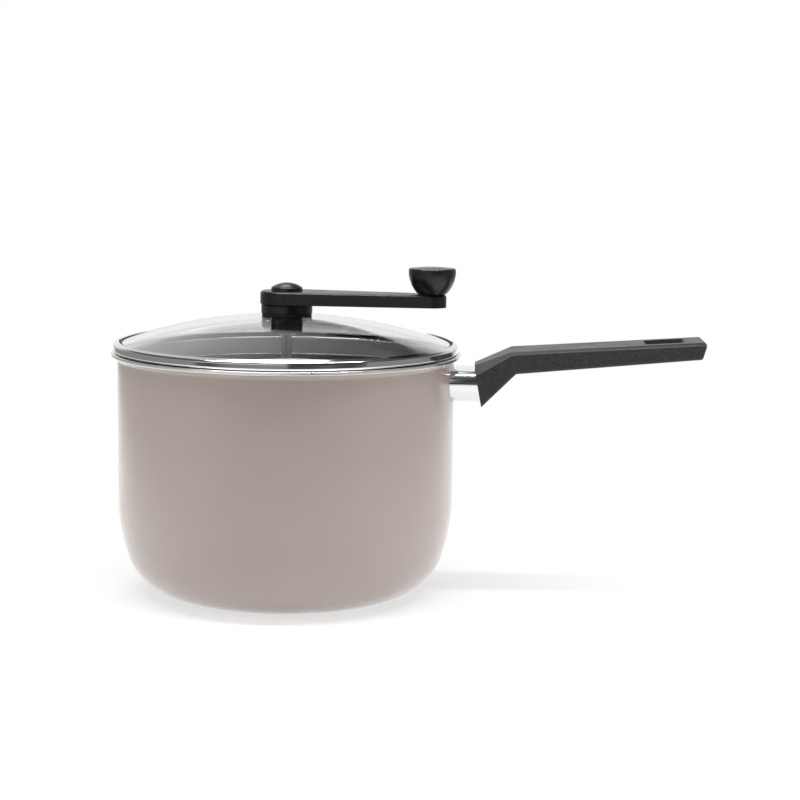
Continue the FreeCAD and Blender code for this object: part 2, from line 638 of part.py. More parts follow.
def dome_shell(out_offset, in_offset, radius):
    """A round piece of the shell between two offsets of the dome."""
    column = disc(radius, POT_HEIGHT - LID_REST_GAP - EDGE_SEAL_THICKNESS, GLASS_TOP + UPPER_SEAL_THICKNESS)
    return column.common(dome_ball(out_offset)).cut(dome_ball(in_offset))


def lid_glass():
    """Domed glass with a hole for the bearing sleeve."""
    glass = dome_shell(0, -GLASS_THICKNESS, GLASS_EDGE_RADIUS)
    return glass.cut(disc(GLASS_HOLE_RADIUS, POT_HEIGHT, GLASS_TOP + UPPER_SEAL_THICKNESS))


def lid_edge_seal():
    """Channel seal that wraps the glass edge."""
    channel = dome_shell(EDGE_SEAL_THICKNESS, -GLASS_THICKNESS - EDGE_SEAL_THICKNESS, SEAL_RADIUS)
    channel = channel.cut(dome_shell(0, -GLASS_THICKNESS, GLASS_EDGE_RADIUS))
    inside = GLASS_EDGE_RADIUS - EDGE_SEAL_LIP
    return channel.cut(disc(inside, 0, GLASS_TOP + UPPER_SEAL_THICKNESS))


def lid_band():
    """Rolled steel band: hemmed skirt, flange on the rim, upright side and the roll over the glass."""
    half = BAND_THICKNESS / 2
    skirt = MOUTH_RADIUS - SKIRT_CLEARANCE - half
    side = BAND_RADIUS - half
    flange = BAND_FOOT + half
    glass_slope = GLASS_EDGE_RADIUS / math.sqrt(DOME_RADIUS ** 2 - GLASS_EDGE_RADIUS ** 2)
    seal_top = DOME_CENTRE + math.sqrt((DOME_RADIUS + EDGE_SEAL_THICKNESS) ** 2 - SEAL_RADIUS ** 2)
    roll = seal_top + BAND_OVER_SEAL + half * math.hypot(1, glass_slope) - (side - SEAL_RADIUS) * glass_slope
    rows = [(skirt - SKIRT_HEM, flange - SKIRT_DEPTH, 0), (skirt, flange - SKIRT_DEPTH, BAND_THICKNESS),
            (skirt, flange, BAND_BEND_RADIUS), (side, flange, BAND_BEND_RADIUS), (side, roll, BAND_ROLL_RADIUS),
            (side - BAND_TOP_REACH, roll + BAND_TOP_REACH * glass_slope, 0)]
    return revolved(strip_face(rows, BAND_THICKNESS))


def bearing_boss():
    """Collar on the glass whose threaded sleeve passes through it."""
    edge = BOSS_EDGE_RADIUS
    return turned([(SLEEVE_BORE, NUT_FOOT, 0), (SLEEVE_RADIUS, NUT_FOOT, 0), (SLEEVE_RADIUS, BOSS_FOOT, 0),
                   (BOSS_RADIUS, BOSS_FOOT, edge), (BOSS_RADIUS, BOSS_TOP, edge), (SLEEVE_BORE, BOSS_TOP, 0)])


def upper_seal_washer():
    """Soft washer between collar and glass, hollowed to the dome."""
    washer = ring(SLEEVE_RADIUS + FIT_GAP, UPPER_SEAL_RADIUS, GLASS_UNDERSIDE, BOSS_FOOT)
    return washer.cut(dome_ball(0))


def lower_seal_washer():
    """Soft washer between glass and nut, crowned to the dome."""
    washer = ring(SLEEVE_RADIUS + FIT_GAP, LOWER_SEAL_RADIUS, NUT_TOP, GLASS_TOP)
    return washer.common(dome_ball(-GLASS_THICKNESS))


def boss_nut():
    """Round nut with grip notches that clamps the bearing to the glass."""
    bore = SLEEVE_RADIUS + FIT_GAP
    nut = turned([(bore, NUT_FOOT, 0), (NUT_RADIUS, NUT_FOOT, NUT_EDGE), (NUT_RADIUS, NUT_TOP, NUT_EDGE),
                  (bore, NUT_TOP, 0)])
    for index in range(NUT_NOTCHES):
        notch = disc(NUT_NOTCH_RADIUS, NUT_FOOT, NUT_TOP)
        notch.translate(FreeCAD.Vector(NUT_RADIUS + NUT_NOTCH_RADIUS / 2, 0, 0))
        notch.rotate(CENTRE, UP, 360 * (index + 0.5) / NUT_NOTCHES)
        nut = nut.cut(notch)
    return nut


def bearing_bush():
    """Plain bearing tube inside the sleeve."""
    return ring(BUSH_BORE, BUSH_RADIUS, NUT_FOOT, BOSS_TOP)


# ---------------------------------------------------------------- crank
def arm_plan(hub_radius, tip_radius, foot, top):
    """An upright solid round the hub and tip circles and the straight flanks between them."""
    lean = math.acos((hub_radius - tip_radius) / CRANK_RADIUS)
    hub_left = FreeCAD.Vector(hub_radius * math.cos(lean), hub_radius * math.sin(lean), foot)
    hub_right = FreeCAD.Vector(hub_left.x, -hub_left.y, foot)
    tip_left = FreeCAD.Vector(CRANK_RADIUS + tip_radius * math.cos(lean), tip_radius * math.sin(lean), foot)
    tip_right = FreeCAD.Vector(tip_left.x, -tip_left.y, foot)
    outline = Part.Wire([
        Part.Arc(hub_left, FreeCAD.Vector(-hub_radius, 0, foot), hub_right).toShape(),
        Part.makeLine(hub_right, tip_right),
        Part.Arc(tip_right, FreeCAD.Vector(CRANK_RADIUS + tip_radius, 0, foot), tip_left).toShape(),
        Part.makeLine(tip_left, hub_left)])
    return Part.Face(outline).extrude(FreeCAD.Vector(0, 0, top - foot))


def arm_hollow():
    """The ribbed hollow in the arm's underside."""
    ceiling = ARM_TOP - ARM_WEB
    hollow = arm_plan(HUB_RADIUS - ARM_WALL, ARM_TIP_RADIUS - ARM_WALL, ARM_FOOT, ceiling)
    hollow = hollow.cut(disc(ARM_HUB_CORE, ARM_FOOT, ceiling))
    tip_core = disc(ARM_TIP_CORE, ARM_FOOT, ceiling)
    tip_core.translate(FreeCAD.Vector(CRANK_RADIUS, 0, 0))
    hollow = hollow.cut(tip_core)
    beyond_tip = block((CRANK_RADIUS, CRANK_RADIUS + 2 * ARM_TIP_RADIUS), (-HUB_RADIUS, HUB_RADIUS),
                       (ARM_FOOT, ARM_TOP))
    hollow = hollow.cut(beyond_tip)
    half_rib = ARM_RIB / 2
    hollow = hollow.cut(block((0, CRANK_RADIUS), (-half_rib, half_rib), (ARM_FOOT, ceiling)))
    pitch = (CRANK_RADIUS - ARM_HUB_CORE - ARM_TIP_CORE) / (ARM_CROSS_RIBS + 1)
    for index in range(ARM_CROSS_RIBS):
        place = ARM_HUB_CORE + pitch * (index + 1)
        hollow = hollow.cut(block((place - half_rib, place + half_rib), (-HUB_RADIUS, HUB_RADIUS),
                                  (ARM_FOOT, ceiling)))
    return hollow


def crank_arm():
    """Moulded arm: round hub with square socket and cap pocket, tapered arm, ribbed underside."""
    arm = arm_plan(HUB_RADIUS, ARM_TIP_RADIUS, ARM_FOOT, ARM_TOP)
    arm = arm.makeFillet(ARM_EDGE_RADIUS, edges_where(arm, lambda box: box.ZMin > ARM_TOP - 0.1))
    arm = arm.cut(arm_hollow())
    half_square = DRIVE_SQUARE / 2 + DRIVE_CLEARANCE
    arm = arm.cut(block((-half_square, half_square), (-half_square, half_square), (ARM_FOOT, ARM_TOP)))
    arm = arm.cut(disc(HUB_POCKET_RADIUS, HUB_POCKET_FLOOR, ARM_TOP))
    spindle_hole = disc(SPINDLE_THREAD_RADIUS + FIT_GAP, ARM_TOP - SPINDLE_THREAD_LENGTH, ARM_TOP)
    spindle_hole.translate(FreeCAD.Vector(CRANK_RADIUS, 0, 0))
    return at_rest_angle(arm.cut(spindle_hole))


def hub_cap():
    """Domed cap whose ring plugs into the hub's pocket over the screw."""
    side_top = ARM_TOP + CAP_SIDE
    dome_radius = (CAP_RADIUS ** 2 + CAP_DOME ** 2) / (2 * CAP_DOME)
    body = disc(CAP_RADIUS, ARM_TOP, side_top + CAP_DOME)
    body = body.common(Part.makeSphere(dome_radius, FreeCAD.Vector(0, 0, side_top + CAP_DOME - dome_radius)))
    body = body.makeFillet(CAP_EDGE_RADIUS, edges_where(
        body, lambda box: abs(box.ZMin - side_top) < 0.1 and box.ZLength < 0.1))
    spigot_radius = HUB_POCKET_RADIUS - FIT_GAP
    body = body.fuse(disc(spigot_radius, ARM_TOP - CAP_SPIGOT_DEPTH, ARM_TOP + CAP_SIDE / 2))
    hollow = disc(spigot_radius - CAP_SPIGOT_WALL, ARM_TOP - CAP_SPIGOT_DEPTH, side_top)
    return body.cut(hollow).removeSplitter()


def arm_screw():
    """Small pan head screw down into the shaft's square end."""
    seat = HUB_POCKET_FLOOR + ARM_WASHER_THICKNESS
    top = seat + ARM_SCREW_HEAD_HEIGHT
    head = disc(ARM_SCREW_HEAD_RADIUS, seat, top)
    head = head.makeFillet(ARM_SCREW_HEAD_HEIGHT / 3, edges_where(head, lambda box: box.ZMin > top - 0.1))
    screw = head.fuse(disc(ARM_SCREW_RADIUS, seat - ARM_SCREW_LENGTH, seat))
    half_long, half_wide = ARM_SCREW_RADIUS, SCREW_RECESS_WIDTH / 2
    depth = (top - ARM_SCREW_RECESS, top)
    screw = screw.cut(block((-half_long, half_long), (-half_wide, half_wide), depth))
    return screw.cut(block((-half_wide, half_wide), (-half_long, half_long), depth)).removeSplitter()


def arm_washer():
    """Flat washer in the hub's pocket."""
    top = HUB_POCKET_FLOOR + ARM_WASHER_THICKNESS
    return ring(ARM_SCREW_RADIUS + FIT_GAP, ARM_WASHER_RADIUS, HUB_POCKET_FLOOR, top)


def stirrer_shaft():
    """Round shaft with a square drive end, a clip groove and a drilled foot."""
    shaft = disc(SHAFT_RADIUS, STIRRER_BASE, ARM_FOOT)
    half_square = DRIVE_SQUARE / 2
    square = block((-half_square, half_square), (-half_square, half_square),
                   (ARM_FOOT - FIT_GAP, HUB_POCKET_FLOOR - FIT_GAP))
    shaft = shaft.fuse(at_rest_angle(square)).removeSplitter()
    groove_radius = SHAFT_RADIUS - CLIP_GROOVE_DEPTH
    shaft = shaft.cut(ring(groove_radius, 2 * SHAFT_RADIUS, CLIP_TOP - CLIP_THICKNESS - FIT_GAP, CLIP_TOP + FIT_GAP))
    tapping_foot = HUB_POCKET_FLOOR + ARM_WASHER_THICKNESS - ARM_SCREW_LENGTH - FIT_GAP
    shaft = shaft.cut(disc(ARM_SCREW_RADIUS + FIT_GAP, tapping_foot, HUB_POCKET_FLOOR))
    shaft = shaft.cut(disc(FOOT_PIN_RADIUS + FIT_GAP, STIRRER_BASE, STIRRER_BASE + FOOT_PIN_LENGTH + FIT_GAP))
    return shaft.cut(vane_bore()).cut(stirrer_pin_bar(STIRRER_PIN_RADIUS + FIT_GAP))


def shaft_clip():
    """Open retaining ring in the shaft's groove under the nut."""
    bore = SHAFT_RADIUS - CLIP_GROOVE_DEPTH + FIT_GAP
    clip = ring(bore, CLIP_RADIUS, CLIP_TOP - CLIP_THICKNESS, CLIP_TOP)
    half_mouth = CLIP_MOUTH / 2
    return clip.cut(block((0, 2 * CLIP_RADIUS), (-half_mouth, half_mouth), (CLIP_TOP - CLIP_THICKNESS, CLIP_TOP)))


# ---------------------------------------------------------------- stirrer
def vane_bore():
    """Cutter for the wire's hole through hub and shaft."""
    bore = Part.makeCylinder(VANE_RADIUS + FIT_GAP, 2 * STIRRER_HUB_RADIUS,
                             FreeCAD.Vector(-STIRRER_HUB_RADIUS, 0, VANE_HEIGHT), OUT)
    return at_rest_angle(bore)


def stirrer_pin_bar(radius):
    """A bar across the hub, square to the wire."""
    start = FreeCAD.Vector(0, -STIRRER_HUB_RADIUS, PIN_HEIGHT)
    bar = Part.makeCylinder(radius, 2 * STIRRER_HUB_RADIUS, start, FreeCAD.Vector(0, 1, 0))
    return at_rest_angle(bar)


def stirrer_hub():
    """Collar pinned to the foot of the shaft."""
    bore = SHAFT_RADIUS + FIT_GAP
    edge = BOSS_EDGE_RADIUS
    hub = turned([(bore, STIRRER_BASE, 0), (STIRRER_HUB_RADIUS, STIRRER_BASE, edge),
                  (STIRRER_HUB_RADIUS, STIRRER_TOP, edge), (bore, STIRRER_TOP, 0)])
    return hub.cut(vane_bore()).cut(stirrer_pin_bar(STIRRER_PIN_RADIUS + FIT_GAP))


def stirrer_vane():
    """One round wire through the hub, bent into an S over the floor, with rounded ends."""
    angle = math.radians(VANE_BEND_ANGLE)

    def arm_points(side):
        middle = FreeCAD.Vector(VANE_STRAIGHT + VANE_BEND_RADIUS * math.sin(angle / 2),
                                VANE_BEND_RADIUS * (1 - math.cos(angle / 2)), 0) * side
        end = FreeCAD.Vector(VANE_STRAIGHT + VANE_BEND_RADIUS * math.sin(angle),
                             VANE_BEND_RADIUS * (1 - math.cos(angle)), 0) * side
        return FreeCAD.Vector(VANE_STRAIGHT, 0, 0) * side, middle, end

    near, middle, end = arm_points(1)
    far_near, far_middle, far_end = arm_points(-1)
    path = Part.Wire([Part.Arc(far_end, far_middle, far_near).toShape(), Part.makeLine(far_near, near),
                      Part.Arc(near, middle, end).toShape()])
    start_direction = FreeCAD.Vector(math.cos(angle), math.sin(angle), 0)
    section = Part.Wire([Part.makeCircle(VANE_RADIUS, far_end, start_direction)])
    wire = path.makePipeShell([section], True, True)
    for tip in (far_end, end):
        wire = wire.fuse(Part.makeSphere(VANE_RADIUS, tip))
    wire.translate(FreeCAD.Vector(0, 0, VANE_HEIGHT))
    return at_rest_angle(wire)


def stirrer_pin():
    """Cross pin through hub and shaft."""
    return stirrer_pin_bar(STIRRER_PIN_RADIUS)


def shaft_foot():
    """Plastic button with a pin up into the shaft."""
    button = turned([(0, FOOT_BASE, 0), (FOOT_RADIUS, FOOT_BASE, FOOT_HEIGHT * 0.6),
                     (FOOT_RADIUS, STIRRER_BASE - FIT_GAP, 0), (0, STIRRER_BASE - FIT_GAP, 0)])
    pin_top = min(STIRRER_BASE + FOOT_PIN_LENGTH, VANE_HEIGHT - VANE_RADIUS - FIT_GAP)
    return button.fuse(disc(FOOT_PIN_RADIUS, FOOT_BASE + FOOT_HEIGHT / 2, pin_top)).removeSplitter()


# ---------------------------------------------------------------- knob
def knob_spindle():
    """Shoulder pin from the arm's tip up into the knob."""
    head = disc(SPINDLE_HEAD_RADIUS, SPINDLE_SEAT, SPINDLE_SEAT + SPINDLE_HEAD_HEIGHT)
    spindle = head.fuse(disc(SPINDLE_RADIUS, ARM_TOP, SPINDLE_SEAT))
    spindle = spindle.fuse(disc(SPINDLE_THREAD_RADIUS, ARM_TOP - SPINDLE_THREAD_LENGTH, ARM_TOP))
    return at_knob(spindle.removeSplitter())


def crank_knob():
    """Bowl-shaped knob with a bore for the spindle and a seat for its cap."""
    neck = section_point(KNOB_NECK_RADIUS, KNOB_FOOT)
    waist = section_point(KNOB_WAIST_RADIUS, KNOB_FOOT + KNOB_WAIST_HEIGHT)
    rim_low = section_point(KNOB_RADIUS, KNOB_TOP - KNOB_EDGE_RADIUS)
    rim_top = section_point(KNOB_RADIUS - KNOB_EDGE_RADIUS, KNOB_TOP)
    rim_middle = rim_low + (rim_top - rim_low) * 0.5 + section_point(1, 1) * (KNOB_EDGE_RADIUS * 0.207)
    outline = Part.Wire([
        Part.makeLine(section_point(0, KNOB_FOOT), neck), Part.Arc(neck, waist, rim_low).toShape(),
        Part.Arc(rim_low, rim_middle, rim_top).toShape(), Part.makeLine(rim_top, section_point(0, KNOB_TOP)),
        Part.makeLine(section_point(0, KNOB_TOP), section_point(0, KNOB_FOOT))])
    knob = revolved(Part.Face(outline))
    knob = knob.cut(disc(SPINDLE_RADIUS + SPINDLE_CLEARANCE, KNOB_FOOT, KNOB_TOP))
    head_pocket = SPINDLE_HEAD_RADIUS + SPINDLE_HEAD_CLEARANCE
    knob = knob.cut(disc(head_pocket, SPINDLE_SEAT - KNOB_GAP / 2, KNOB_TOP))
    return at_knob(knob.cut(disc(KNOB_CAP_RADIUS + FIT_GAP, KNOB_TOP - KNOB_CAP_SEAT, KNOB_TOP)))


def knob_cap():
    """Domed disc that closes the top of the knob."""
    dome_radius = (KNOB_CAP_RADIUS ** 2 + KNOB_CAP_DOME ** 2) / (2 * KNOB_CAP_DOME)
    crown = KNOB_TOP + KNOB_CAP_DOME
    cap = disc(KNOB_CAP_RADIUS, KNOB_TOP - KNOB_CAP_SEAT, crown)
    return at_knob(cap.common(Part.makeSphere(dome_radius, FreeCAD.Vector(0, 0, crown - dome_radius))))


# ---------------------------------------------------------------- output
PIECES = (
    pot_shell, handle_bracket, handle_rivets, handle_ferrule, handle_grip, handle_screw, handle_lock_washer,
    lid_glass, lid_band, lid_edge_seal, bearing_boss, upper_seal_washer, lower_seal_washer, boss_nut,
    bearing_bush,
    crank_arm, hub_cap, arm_screw, arm_washer, stirrer_shaft, shaft_clip, stirrer_hub, stirrer_vane,
    stirrer_pin, shaft_foot, knob_spindle,
    crank_knob, knob_cap,
)

os.makedirs("parts", exist_ok=True)
for piece in PIECES:
    solid = piece()
    print(piece.__name__, len(solid.Solids), round(solid.Volume, 1), solid.isValid())
    solid.exportStep("parts/" + piece.__name__ + ".step")
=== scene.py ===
import logging
import math
from dataclasses import dataclass, field
from enum import Enum, IntEnum
from typing import Any, ClassVar, Optional, Sequence, Union

import bmesh
import bpy
from mathutils import Matrix, Vector


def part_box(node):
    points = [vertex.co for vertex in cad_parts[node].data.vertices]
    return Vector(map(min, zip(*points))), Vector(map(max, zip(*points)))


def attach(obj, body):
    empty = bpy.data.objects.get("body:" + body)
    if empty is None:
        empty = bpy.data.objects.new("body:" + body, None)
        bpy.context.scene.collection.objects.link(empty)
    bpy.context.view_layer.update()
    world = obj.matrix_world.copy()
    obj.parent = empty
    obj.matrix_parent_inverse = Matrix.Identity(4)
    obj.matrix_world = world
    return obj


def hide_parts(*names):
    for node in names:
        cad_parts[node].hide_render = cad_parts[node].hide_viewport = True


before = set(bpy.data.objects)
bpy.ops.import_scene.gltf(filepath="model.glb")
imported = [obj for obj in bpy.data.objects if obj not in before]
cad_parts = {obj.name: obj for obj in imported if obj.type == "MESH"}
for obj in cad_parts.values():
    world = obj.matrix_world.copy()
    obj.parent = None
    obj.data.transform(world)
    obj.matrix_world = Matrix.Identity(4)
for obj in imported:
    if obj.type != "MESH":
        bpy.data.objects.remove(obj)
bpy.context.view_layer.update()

# Looks of a hand cranked popcorn popper: a coated saucepan, a crank in its domed glass lid, a bent grip.
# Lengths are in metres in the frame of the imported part: the origin is the centre of the base underside,
# +Z is up and +X points along the handle. Sizes of patterns in a finish are in millimetres.

MM = 0.001
LOG = logging.getLogger("popcorn_popper")

Tree = bpy.types.NodeTree
Node = bpy.types.Node
Piece = bpy.types.Object
Point = tuple[float, float]
Place = tuple[float, float, float]
Colour = tuple[float, float, float, float]
# Where a change starts and ends along its input, then the value before it and the value after it.
Ramp = tuple[float, float, float, float]
NodeValue = Union[Node, bpy.types.NodeSocket, float, int, str, tuple]
NodeInputs = Union[dict[Union[str, int], NodeValue], tuple[NodeValue, ...]]

WHITE: Colour = (1.0, 1.0, 1.0, 1.0)


# ---------------------------------------------------------------- colours and nodes
def colour(code: str) -> Colour:
    """Turns an sRGB hex code into a linear colour, with the numbers of the sRGB standard.

    Args:
        code: Six hex digits with a leading hash, such as "#A69B95".

    Returns:
        Red, green, blue and an alpha of 1.
    """
    channels = [int(code[start:start + 2], 16) / 255 for start in (1, 3, 5)]
    red, green, blue = (c / 12.92 if c <= 0.04045 else ((c + 0.055) / 1.055) ** 2.4 for c in channels)
    return red, green, blue, 1.0


def feed(tree: Tree, node: Node, inputs: NodeInputs) -> None:
    """Sets a node's inputs.

    Args:
        tree: The node's tree.
        node: Node that gets the values.
        inputs: Values in the inputs' order, or by input name or number. A socket is linked, and so is the
            first output in use of a node. Anything else is a constant.
    """
    for key, value in inputs.items() if isinstance(inputs, dict) else enumerate(inputs):
        if isinstance(value, bpy.types.Node):
            value = next(socket for socket in value.outputs if socket.enabled)
        if isinstance(value, bpy.types.NodeSocket):
            tree.links.new(value, node.inputs[key])
        else:
            node.inputs[key].default_value = value


def add_node(tree: Tree, kind: str, inputs: NodeInputs = (), **settings: Any) -> Node:
    """Adds one node with its settings and links.

    Args:
        tree: Node tree that gets the node.
        kind: Blender's node type, such as "ShaderNodeTexNoise".
        inputs: Values of its inputs, as feed takes them.
        **settings: Properties of the node itself, such as operation.

    Returns:
        The new node.
    """
    node = tree.nodes.new(kind)
    for name, value in settings.items():
        setattr(node, name, value)
    feed(tree, node, inputs)
    return node


def emptied_tree(owner: Union[bpy.types.Material, bpy.types.World]) -> Tree:
    """Clears the nodes that a new material or world comes with.

    Args:
        owner: The material or world.

    Returns:
        Its empty node tree.
    """
    owner.use_nodes = True
    owner.node_tree.nodes.clear()
    return owner.node_tree


# ---------------------------------------------------------------- finishes
# Values that a noise of several layers, and a soft one, keep between nearly everywhere.
NOISE_RANGE: Point = (0.3, 0.7)
SOFT_NOISE_RANGE: Point = (0.35, 0.65)
# Values of a noise between which a sparse fleck, and a speck of a filler, fade in.
FLECK_EDGE: Point = (0.66, 0.72)
SPECK_EDGE: Point = (0.495, 0.675)
# Scale of a pattern along the way that a tool went, so that a mark runs fifty times its width.
LONG_WAY = 0.02


@dataclass(frozen=True)
class Skin:
    """Material while it is built: its node tree, its principled shader and its place in millimetres."""

    tree: Tree
    surface: Node
    place: Node

    def mottle(self, size_mm: float, layers: float = 2.0, source: Optional[Point] = None,
               result: Point = (0.0, 1.0), stretch: Optional[Place] = None) -> Node:
        """Draws an irregular pattern of a real size.

        Args:
            size_mm: Width of one light and dark pair.
            layers: Number of finer layers over it.
            source: Values of the bare noise between which the pattern changes, where it is drawn sharper.
            result: What the pattern is at those values.
            stretch: Scale along each axis, below 1 where the pattern runs long.

        Returns:
            The node that gives the pattern.
        """
        place = self.place
        if stretch:
            place = add_node(self.tree, "ShaderNodeVectorMath", (place, stretch), operation="MULTIPLY")
        noise = add_node(self.tree, "ShaderNodeTexNoise",
                         {"Vector": place, "Scale": 1 / size_mm, "Detail": layers})
        if not source:
            return noise
        return add_node(self.tree, "ShaderNodeMapRange", (noise, *source, *result))

    def tint(self, share: Node, first: NodeValue, second: str) -> Node:
        """Colours the surface with a second colour laid over a first.

        Args:
            share: Pattern from 0 to 1 of how much the second colour covers.
            first: The first colour.
            second: Hex code of the second one.

        Returns:
            The node that gives the mixed colour.
        """
        mixed = add_node(self.tree, "ShaderNodeMix", {0: share, 6: first, 7: colour(second)},
                         data_type="RGBA")
        feed(self.tree, self.surface, {"Base Color": mixed})
        return mixed

    def relief(self, height: Node, depth_mm: float, under: Optional[Node] = None) -> Node:
        """Gives the surface a relief of a real depth.

        Args:
            height: Pattern from 0 to 1.
            depth_mm: Height of the pattern's full range.
            under: Coarser relief that this one lies on.

        Returns:
            The node that gives the relief's normal.
        """
        bump = add_node(self.tree, "ShaderNodeBump",
                        {"Height": height, "Distance": depth_mm * MM, "Strength": 1.0})
        if under:
            feed(self.tree, bump, {"Normal": under})
        feed(self.tree, self.surface, {"Normal": bump})
        return bump


class Lay(Enum):
    """Direction of the fine tool marks on a metal surface."""

    PLAIN = "plain"
    AROUND_Z = "turned round the vertical axis"
    ALONG_X = "drawn along the handle"
    ALONG_Z = "drawn along the shaft"


@dataclass(frozen=True)
class Finish:
    """Common part of every surface finish: a principled surface that the kinds below add detail to."""

    name: str
    slot: str
    base: str
    roughness: float

    def material(self) -> bpy.types.Material:
        """Builds the finish's material once and hands out the same one from then on.

        Returns:
            The material.
        """
        made = bpy.data.materials.get(self.name)
        if made:
            return made
        made = bpy.data.materials.new(self.name)
        tree = emptied_tree(made)
        surface = add_node(tree, "ShaderNodeBsdfPrincipled",
                           {"Base Color": colour(self.base), "Roughness": self.roughness})
        add_node(tree, "ShaderNodeOutputMaterial", {"Surface": surface})
        place = add_node(tree, "ShaderNodeTexCoord").outputs["Object"]
        in_mm = add_node(tree, "ShaderNodeVectorMath", {0: place, "Scale": 1 / MM}, operation="SCALE")
        self.detail(Skin(tree, surface, in_mm))
        return made

    def detail(self, skin: Skin) -> None:
        """Adds what this kind of finish shows close up.

        Args:
            skin: The material while it is built.
        """


@dataclass(frozen=True)
class SprayedCoat(Finish):
    """Sprayed and baked coat on aluminium: an even body colour under a thin satin skin."""

    tint: str
    coat: float
    coat_roughness: float = 0.25
    cloud_mm: float = 70.0
    patch_mm: float = 70.0 / 3
    uneven: float = 0.03
    peel_mm: float = 1.6
    peel_depth_mm: float = 0.004
    fleck: str = ""
    fleck_mm: float = 0.7

    def detail(self, skin: Skin) -> None:
        """Adds faint clouds in the colour, orange peel and, where the coat has them, mica flecks.

        Args:
            skin: The material while it is built.
        """
        clouds = skin.mottle(self.cloud_mm, source=SOFT_NOISE_RANGE)
        body = skin.tint(clouds, colour(self.base), self.tint)
        if self.fleck:
            skin.tint(skin.mottle(self.fleck_mm, layers=0.0, source=FLECK_EDGE), body, self.fleck)
        handled = skin.mottle(self.patch_mm, layers=4.0, source=NOISE_RANGE,
                              result=(self.roughness - self.uneven, self.roughness + self.uneven))
        feed(skin.tree, skin.surface, {"Roughness": handled, "Coat Weight": self.coat,
                                       "Coat Roughness": self.coat_roughness})
        skin.relief(skin.mottle(self.peel_mm), self.peel_depth_mm)


@dataclass(frozen=True)
class BareMetal(Finish):
    """Uncoated metal with the marks of its last tool, drawn wider than the real ones of some 0.05 mm."""

    lay: Lay = Lay.PLAIN
    mark_mm: float = 0.35
    mark_depth_mm: float = 0.002
    wave_mm: float = 0.0
    wave_depth_mm: float = 0.0
    patch_mm: float = 9.0
    smear: float = 0.03
    sharpest: float = 0.02

    def detail(self, skin: Skin) -> None:
        """Adds tool marks along the lay, a slow waviness where the sheet has one, and uneven gloss.

        Args:
            skin: The material while it is built.
        """
        under = None
        if self.wave_mm:
            under = skin.relief(skin.mottle(self.wave_mm, layers=1.0), self.wave_depth_mm)
        skin.relief(self.marks(skin), self.mark_depth_mm, under)
        sharp = max(self.roughness - self.smear, self.sharpest)
        gloss = skin.mottle(self.patch_mm, layers=3.0, source=NOISE_RANGE,
                            result=(sharp, self.roughness + self.smear))
        feed(skin.tree, skin.surface, {"Metallic": 1.0, "Roughness": gloss})

    def marks(self, skin: Skin) -> Node:
        """Draws the height pattern of the tool marks.

        Args:
            skin: The material while it is built.

        Returns:
            The node that gives the pattern, from 0 to 1.
        """
        if self.lay is Lay.AROUND_Z:
            parts = add_node(skin.tree, "ShaderNodeSeparateXYZ", (skin.place,)).outputs
            flat = add_node(skin.tree, "ShaderNodeCombineXYZ", (parts["X"], parts["Y"]))
            radius = add_node(skin.tree, "ShaderNodeVectorMath", (flat,), operation="LENGTH")
            section = add_node(skin.tree, "ShaderNodeCombineXYZ", (radius, parts["Z"]))
            return Skin(skin.tree, skin.surface, section).mottle(self.mark_mm, layers=3.0)
        stretches = {Lay.ALONG_X: (LONG_WAY, 1.0, 1.0), Lay.ALONG_Z: (1.0, 1.0, LONG_WAY)}
        return skin.mottle(self.mark_mm, layers=3.0, stretch=stretches.get(self.lay))


@dataclass(frozen=True)
class RolledSheet(BareMetal):
    """Polished sheet whose skirt keeps the satin skin of the mill between its rolled edge and its hem."""

    satin_below_mm: float = 146.5
    satin_above_mm: float = 136.3
    fade_below_mm: float = 0.5
    fade_above_mm: float = 0.3
    satin_roughness: float = 0.52

    def detail(self, skin: Skin) -> None:
        """Adds the marks of bare metal, then makes the skirt satin.

        Args:
            skin: The material while it is built.
        """
        super().detail(skin)
        tree = skin.tree
        polished = skin.surface.inputs["Roughness"].links[0].from_socket
        height = add_node(tree, "ShaderNodeSeparateXYZ", (skin.place,)).outputs["Z"]
        below: Ramp = (self.satin_below_mm, self.satin_below_mm + self.fade_below_mm, 1.0, 0.0)
        above: Ramp = (self.satin_above_mm - self.fade_above_mm, self.satin_above_mm, 0.0, 1.0)
        under_edge, over_hem = (add_node(tree, "ShaderNodeMapRange", (height, *ramp))
                                for ramp in (below, above))
        skirt = add_node(tree, "ShaderNodeMath", (under_edge, over_hem), operation="MULTIPLY")
        mixed = add_node(tree, "ShaderNodeMix", {0: skirt, 2: polished, 3: self.satin_roughness})
        feed(tree, skin.surface, {"Roughness": mixed})


@dataclass(frozen=True)
class MouldedPlastic(Finish):
    """Moulded plastic or resin with the grain of its mould and, where it is filled, a speckle.

    Both are drawn some three times as coarse as the real ones, so that they show.
    """

    grain_mm: float = 0.5
    grain_depth_mm: float = 0.012
    patch_mm: float = 14.0
    rubbed: float = 0.04
    dulled: float = 0.05
    speckle: str = ""
    speckle_mm: float = 0.6
    sheen: float = 0.5

    def detail(self, skin: Skin) -> None:
        """Adds the grain, slightly uneven gloss and the filler's speckle.

        Args:
            skin: The material while it is built.
        """
        skin.relief(skin.mottle(self.grain_mm, layers=3.0), self.grain_depth_mm)
        worn = skin.mottle(self.patch_mm, layers=3.0, source=NOISE_RANGE,
                           result=(self.roughness - self.rubbed, self.roughness + self.dulled))
        feed(skin.tree, skin.surface, {"Roughness": worn, "Specular IOR Level": self.sheen})
        if self.speckle:
            specks = skin.mottle(self.speckle_mm, layers=1.0, source=SPECK_EDGE)
            skin.tint(specks, colour(self.base), self.speckle)


